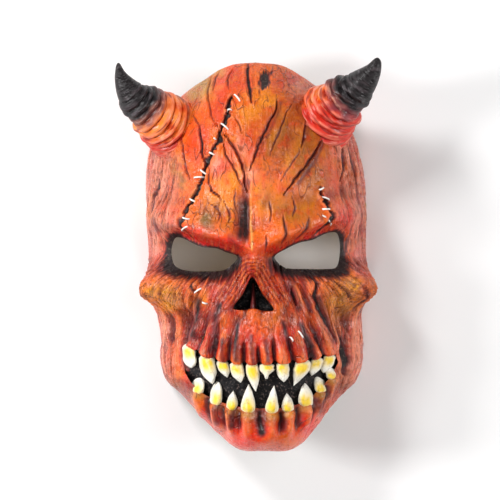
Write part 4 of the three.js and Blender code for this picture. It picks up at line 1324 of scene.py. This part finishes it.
HORN_HIGHLIGHT_GREY = screen(96, 84, 88)
STREAK_DARK_AND_SHADE_RED = screen(120, 16, 18)
STREAK_HIGHLIGHT_PALE = screen(255, 184, 150)
STREAK_HIGHLIGHT_GREY = screen(112, 104, 110)
GROOVE_WASH_AND_SHADE_RED = screen(160, 34, 24)
GROOVE_WASH_AND_SHADE_BLACK = screen(8, 6, 8)


def horn_material():
    material, nodes = new_material("horn_paint")
    streak = nodes.attribute("grain", "Vector").noise(1.0, 2.0, (0.8, 0.8, 60.0))
    patch = nodes.position().noise(260.0, 4.0)
    dark = nodes.attribute("paint", "Alpha")
    bare = 1.0 - dark
    grooved = nodes.attribute("wash", "Fac") + 0.3 * (patch - 0.5) + 0.3 * (streak - 0.5)
    grooved = grooved.step(0.3, 0.75)
    colour = nodes.attribute("paint", "Color")
    # Dark red in the low streaks: the paint's own dark lines, and painted shade between the fine rings.
    colour = colour.mix(STREAK_DARK_AND_SHADE_RED, 0.7 * streak.step(0.46, 0.36) * bare)
    # Painted highlights on the fine rings: pale on the orange part, grey on the black part.
    colour = colour.mix(STREAK_HIGHLIGHT_PALE, 0.5 * streak.step(0.55, 0.68) * patch.step(0.4, 0.6) * bare)
    colour = colour.mix(STREAK_HIGHLIGHT_GREY, 0.4 * streak.step(0.58, 0.7) * patch.step(0.45, 0.6) * dark)
    # Dark wash in the grooves between the collars, which is also painted shade there.
    colour = colour.mix(GROOVE_WASH_AND_SHADE_RED, 0.75 * grooved * bare)
    colour = colour.mix(GROOVE_WASH_AND_SHADE_BLACK, 0.9 * grooved * dark)
    return finish_material(
        material,
        streak + 0.2 * patch,
        relief_depth=1.8,
        Base_Color=colour,
        Roughness=0.22 + 0.2 * patch + 0.08 * dark,
        Specular_IOR_Level=0.36,
    )


def horn_rings(stations, levels, sides, radius_at):
    """Rings round a horn's middle line, at shares of its length."""
    curve = curve_through(stations, np.linalg.norm(np.diff(stations[:, :3], axis=0), axis=1))
    turn = full_turn(sides)
    rings = []
    for level in levels:
        middle = curve(np.array(level))
        axis = unit(curve(np.array(level + 0.02))[:3] - curve(np.array(level - 0.02))[:3])
        side = unit(np.cross((0, 1, 0), axis))
        up = np.cross(axis, side)
        radius = radius_at(level, turn, middle[3])[:, None]
        rings.append(middle[:3] + side * radius * np.cos(turn)[:, None] + up * radius * np.sin(turn)[:, None])
    return np.array(rings)


def collar_at(along, turn, seed):
    """Number of the collar at a place on a horn, and how far the collar rises there, from 0 to 1."""
    wobble = 0.3 * noise(2 * np.cos(turn), 2 * np.sin(turn) + 4 * along, seed)
    wobble = 0.25 * np.sin(turn + seed) + wobble
    phase = HORN_COLLARS * (along + 0.25 * along**2) / 1.25 + wobble
    within = phase % 1
    return np.floor(phase), (4 * within * (1 - within)) ** 0.7


def horn_piece(name, stations, base, black_from, red_below, seed):
    """A horn of a base colour, red below a height and black from a share of its length."""
    def radius_at(level, turn, radius):
        number, collar = collar_at(level, turn, seed)
        ringed = 1 - smooth(level, 0.7, 0.8)
        knobs = noise(1.6 * np.cos(turn), 1.6 * np.sin(turn) + 1.3 * number, seed + 4)
        fine = noise(3 * np.cos(turn), 60 * level + 3 * np.sin(turn), seed + 1)
        rounded = (1 - (max(level - HORN_TIP, 0) / (1 - HORN_TIP)) ** 2) ** 0.5
        bulge = (0.17 + 0.16 * smooth(level, 0.4, 0.6) * knobs) * collar
        return radius * rounded * (1 + ringed * (bulge - 0.11 + 0.025 * fine))

    levels = np.linspace(0, 0.998, HORN_RINGS)
    rings = horn_rings(stations, levels, HORN_SIDES, radius_at)
    turn = full_turn(HORN_SIDES)
    along = levels[:, None] + 0 * turn
    collar = collar_at(along, turn, seed)[1]
    x, y = rings[..., 0], rings[..., 1]
    spots = noise(x / 6, y / 6, seed + 2) + 0.6 * noise(x / 2.5, y / 2.5, seed + 3)
    foot = smooth(red_below - y, -8, 8)
    dark = smooth(along + 0.03 * spots - 0.05 * collar, black_from - 0.08, black_from + 0.04)
    paint = mixed(np.broadcast_to(base, rings.shape), ORANGE, smooth(spots, -0.4, 0.6))
    paint = mixed(paint, HORN_RED, 0.9 * smooth(spots + 1.8 * foot, 0.2, 1.4))
    paint = mixed(paint, YELLOW_ORANGE, 0.5 * (1 - foot) * smooth(-spots, 0.1, 0.8))
    # Painted highlight in pink on the crests of the collars.
    paint = mixed(paint, PINK, 0.45 * smooth(collar, 0.8, 1) * smooth(-spots, -0.8, 0.3))
    paint = mixed(paint, DARK_MAUVE, 0.7 * smooth(along + 0.03 * spots, black_from - 0.06, black_from))
    paint = mixed(paint, HORN_BLACK, dark)
    # Painted highlight in grey on the crests of the black collars.
    paint = mixed(paint, HORN_HIGHLIGHT_GREY, 0.35 * dark * smooth(collar, 0.75, 1) * smooth(spots, -0.2, 0.8))
    return wrapped_solid(name, rings, horn_paint, {
        "paint": np.concatenate([paint, dark[..., None]], axis=-1),
        "grain": np.stack([np.cos(turn) + 0 * along, np.sin(turn) + 0 * along, along], -1),
        # The wash darkens the grooves between the collars: dark paint there, and painted shade too.
        "wash": 0.8 * (1 - smooth(collar, 0.1, 0.7)) * (1 - smooth(along, 0.68, 0.75)),
    })


horn_paint = horn_material()
additions.append(horn_piece("left_horn", LEFT_HORN, PALE_ORANGE, 0.56, 82, 21))
additions.append(horn_piece("right_horn", RIGHT_HORN, ORANGE_RED, 0.6, 102, 31))


# Staples
# White stitches laid over the two scars, the cheek and the gum, bent down into the skin at both ends.
STAPLES = [
    ((-16, 110.5), (-11.5, 105.5)), ((-20.5, 99), (-17, 99.5)), ((-25, 90.5), (-19.5, 86)),
    ((-29.5, 80), (-28, 79)), ((-33, 70.5), (-29, 68.5)), ((-39, 59), (-34, 55)), ((-43.5, 53), (-37, 53.5)),
    ((-46, 39), (-41.5, 36.5)), ((-51, 26), (-46, 24.5)), ((-51.5, 16.5), (-47, 20)),
    ((-43, -26.5), (-37.5, -22.5)), ((-37.5, -32), (-33.5, -33.5)), ((42, 44.5), (45.5, 46.5)),
    ((44.5, 40), (49.5, 37.5)), ((45, 31.5), (50, 31.5)), ((44.5, 27.5), (51, 20.5)),
    ((22.5, -56), (24.5, -59.5)), ((27.5, -51.5), (31.5, -57.5)),
]
STAPLE_RADIUS = 0.6
STAPLE_RISE = 2.1
STAPLE_DROP = 3.2
STAPLE_LEVELS = 14
STAPLE_SIDES = 10
STAPLE_WHITE = screen(244, 240, 234)


def staple_piece(start, end):
    along = np.linspace(-0.08, 1.08, STAPLE_LEVELS)
    feet, outs = surface_at(*np.array([start, end], float).T)
    out = outs.mean(axis=0)
    arch = STAPLE_RISE - STAPLE_DROP * np.abs(2 * along - 1) ** 4
    middle_line = feet[0] + (feet[1] - feet[0]) * along[:, None] + out * arch[:, None]
    run = unit(feet[1] - feet[0])
    side = unit(np.cross(run, out))
    up = np.cross(side, run)
    turn = full_turn(STAPLE_SIDES)[:, None]
    ring = STAPLE_RADIUS * (side * np.cos(turn) + up * np.sin(turn))
    return wrapped_solid("staple", middle_line[:, None] + ring, white)


white = plain_material("staple_white", STAPLE_WHITE, 0.4)
additions += [staple_piece(start, end) for start, end in STAPLES]
cut(casting, additions, "UNION")


# Hollow side
# The side that lies over a face: bare latex of even thickness behind the painted side, brushed into the
# mould in coats, with the openings for the eyes trimmed out and a hole punched at each side.
WALL = 2.3
PAINTED_WALL = 3.3
REACH = 4.5
# Places around a point, whose lowest height sets where the wall ends behind it
NEARBY = [(0, 0)] + [(REACH * np.cos(k * np.pi / 4), REACH * np.sin(k * np.pi / 4)) for k in range(8)]
LINER_ROWS = 80
LINER_COLUMNS = 64
LINER_DROP = 8  # how far the tool for the hollow reaches below the rim
HORN_WALL = 3
HORN_BORE_END = 0.42
HORN_BORE_LEVELS = 8
HORN_BORE_SIDES = 24
EYE_SIDES = 96
BEHIND_EYES = 12
STRAP_HOLE_RADIUS = 2.2
STRAP_HOLE_PLACE = (34, 11)
STRAP_HOLE_SIDES = 24
STRAP_TOOL_LENGTH = 240
SMOOTH_ANGLE = 42
LATEX_PALE = screen(214, 184, 138)
LATEX_BROWN = screen(176, 138, 92)


def latex_material():
    material, nodes = new_material("raw_latex")
    position = nodes.position()
    coats = position.noise(45.0, 4.0)
    return finish_material(
        material,
        coats + 0.3 * position.noise(600.0, 3.0),
        relief_depth=0.8,
        Base_Color=nodes.blend(LATEX_PALE, LATEX_BROWN, coats.step(0.4, 0.75)),
        Roughness=0.55,
    )


def liner_point(share, across):
    form = form_point(share, across)
    x, y, z = np.moveaxis(form, -1, 0)
    fade = smooth(z - section_at(share)[4], 0, RIM_FADE)
    normal = form_normal(share, across)
    lowest = np.full_like(z, np.inf)
    for aside, up in NEARBY:
        height = relief_at(x + aside, y + up, z) * fade
        near_x = x + aside + normal[..., 0] * height
        near_y = y + up + normal[..., 1] * height
        recess = MOUTH_DEPTH * smooth(depth_inside(near_x, near_y, MOUTH), -1, 1)
        recess = recess + (NOSE_DEPTH + 1) * smooth(depth_inside(near_x, near_y, NOSE), -3, -1)
        lowest = np.minimum(lowest, height - recess)
    wall = WALL + (PAINTED_WALL - WALL) * fade
    return form + normal * (lowest - wall)[..., None]


def liner_piece():
    """A tool for the hollow, over the back of the wall and down past the rim."""
    share, across = face_grid(LINER_ROWS, LINER_COLUMNS)
    points = liner_point(share, across)
    rims = section_at(share[:, 0])[4]
    points[:, [0, -1], 2] = rims[:, None]
    points = np.pad(points, ((0, 0), (1, 1), (0, 0)), mode="edge")
    points[:, [0, -1], 2] = rims[:, None] - LINER_DROP
    for end in (0, -1):
        points[end] = points[end, LINER_COLUMNS // 2]
        points[end, :, 2] = rims[end] - LINER_DROP
    return sheet_solid("hollow", points, latex, {})


def horn_bore(name, stations):
    def radius_at(level, turn, radius):
        return np.full_like(turn, max(radius - HORN_WALL, 0.8))

    levels = np.linspace(0, HORN_BORE_END, HORN_BORE_LEVELS)
    return wrapped_solid(name, horn_rings(stations, levels, HORN_BORE_SIDES, radius_at), latex)


def eye_piece(eye):
    outline = closed_outline(eye, EYE_SIDES)
    levels = [np.column_stack([outline, np.full(EYE_SIDES, float(z))]) for z in (BEHIND_EYES, ABOVE_FACE)]
    return wrapped_solid("eye_tool", np.array(levels), gum_black)


def strap_piece():
    """A pin through both sides, for the holes of a strap."""
    bpy.ops.mesh.primitive_cylinder_add(
        vertices=STRAP_HOLE_SIDES,
        radius=STRAP_HOLE_RADIUS * MM,
        depth=STRAP_TOOL_LENGTH * MM,
        location=to_frame((0, *STRAP_HOLE_PLACE)),
        rotation=(0, np.pi / 2, 0),
    )
    bpy.ops.object.transform_apply()
    bpy.context.object.data.materials.append(latex)
    return bpy.context.object


latex = latex_material()
removals = [liner_piece(), horn_bore("left_bore", LEFT_HORN), horn_bore("right_bore", RIGHT_HORN)]
removals += [eye_piece(eye) for eye in (LEFT_EYE, RIGHT_EYE)]
removals.append(strap_piece())
cut(casting, removals, "DIFFERENCE")
select_only(casting)
bpy.ops.object.shade_smooth_by_angle(angle=np.radians(SMOOTH_ANGLE))
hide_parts("mask")
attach(casting, "root")


# Floor, light and camera
# The mask lies on its rim on a pale floor under five soft lamps, and the camera looks straight down on it.
FLOOR_SIZE = 14
FLOOR_GREY = (0.92, 0.92, 0.92)
# Place, width and power of each lamp
LAMPS = [
    ((-0.75, 0.9, 1.15), 0.36, 14.5),
    ((0.8, 0.2, 1.7), 0.8, 4.4),
    ((0.0, -1.1, 1.2), 0.4, 4),
    ((-1.25, 0.0, 0.85), 0.34, 16),
    ((1.3, 0.0, 0.7), 0.4, 10.5),
]
LAMPS_AIM = Vector((0, 0, 0.05))
WORLD_STRENGTH = 0.1
CAMERA_PLACE = (0.00179, 0.00296, 6.05)
CAMERA_LENS = 626

bpy.ops.mesh.primitive_plane_add(size=FLOOR_SIZE)
floor = bpy.context.object
floor.name = "floor"
floor.data.materials.append(plain_material("floor", FLOOR_GREY, 0.8))

for place, width, power in LAMPS:
    bpy.ops.object.light_add(type="AREA", location=place)
    lamp = bpy.context.object
    lamp.data.size = width
    lamp.data.energy = power
    lamp.rotation_euler = (LAMPS_AIM - Vector(place)).to_track_quat("-Z", "Y").to_euler()
    lamp.visible_camera = False

world = bpy.data.worlds.new("studio")
world.use_nodes = True
background = world.node_tree.nodes["Background"]
background.inputs["Color"].default_value = (1, 1, 1, 1)
background.inputs["Strength"].default_value = WORLD_STRENGTH
bpy.context.scene.world = world

bpy.ops.object.camera_add(location=CAMERA_PLACE)
bpy.context.scene.camera = bpy.context.object
bpy.context.object.data.lens = CAMERA_LENS
bpy.context.scene.view_settings.view_transform = "Standard"
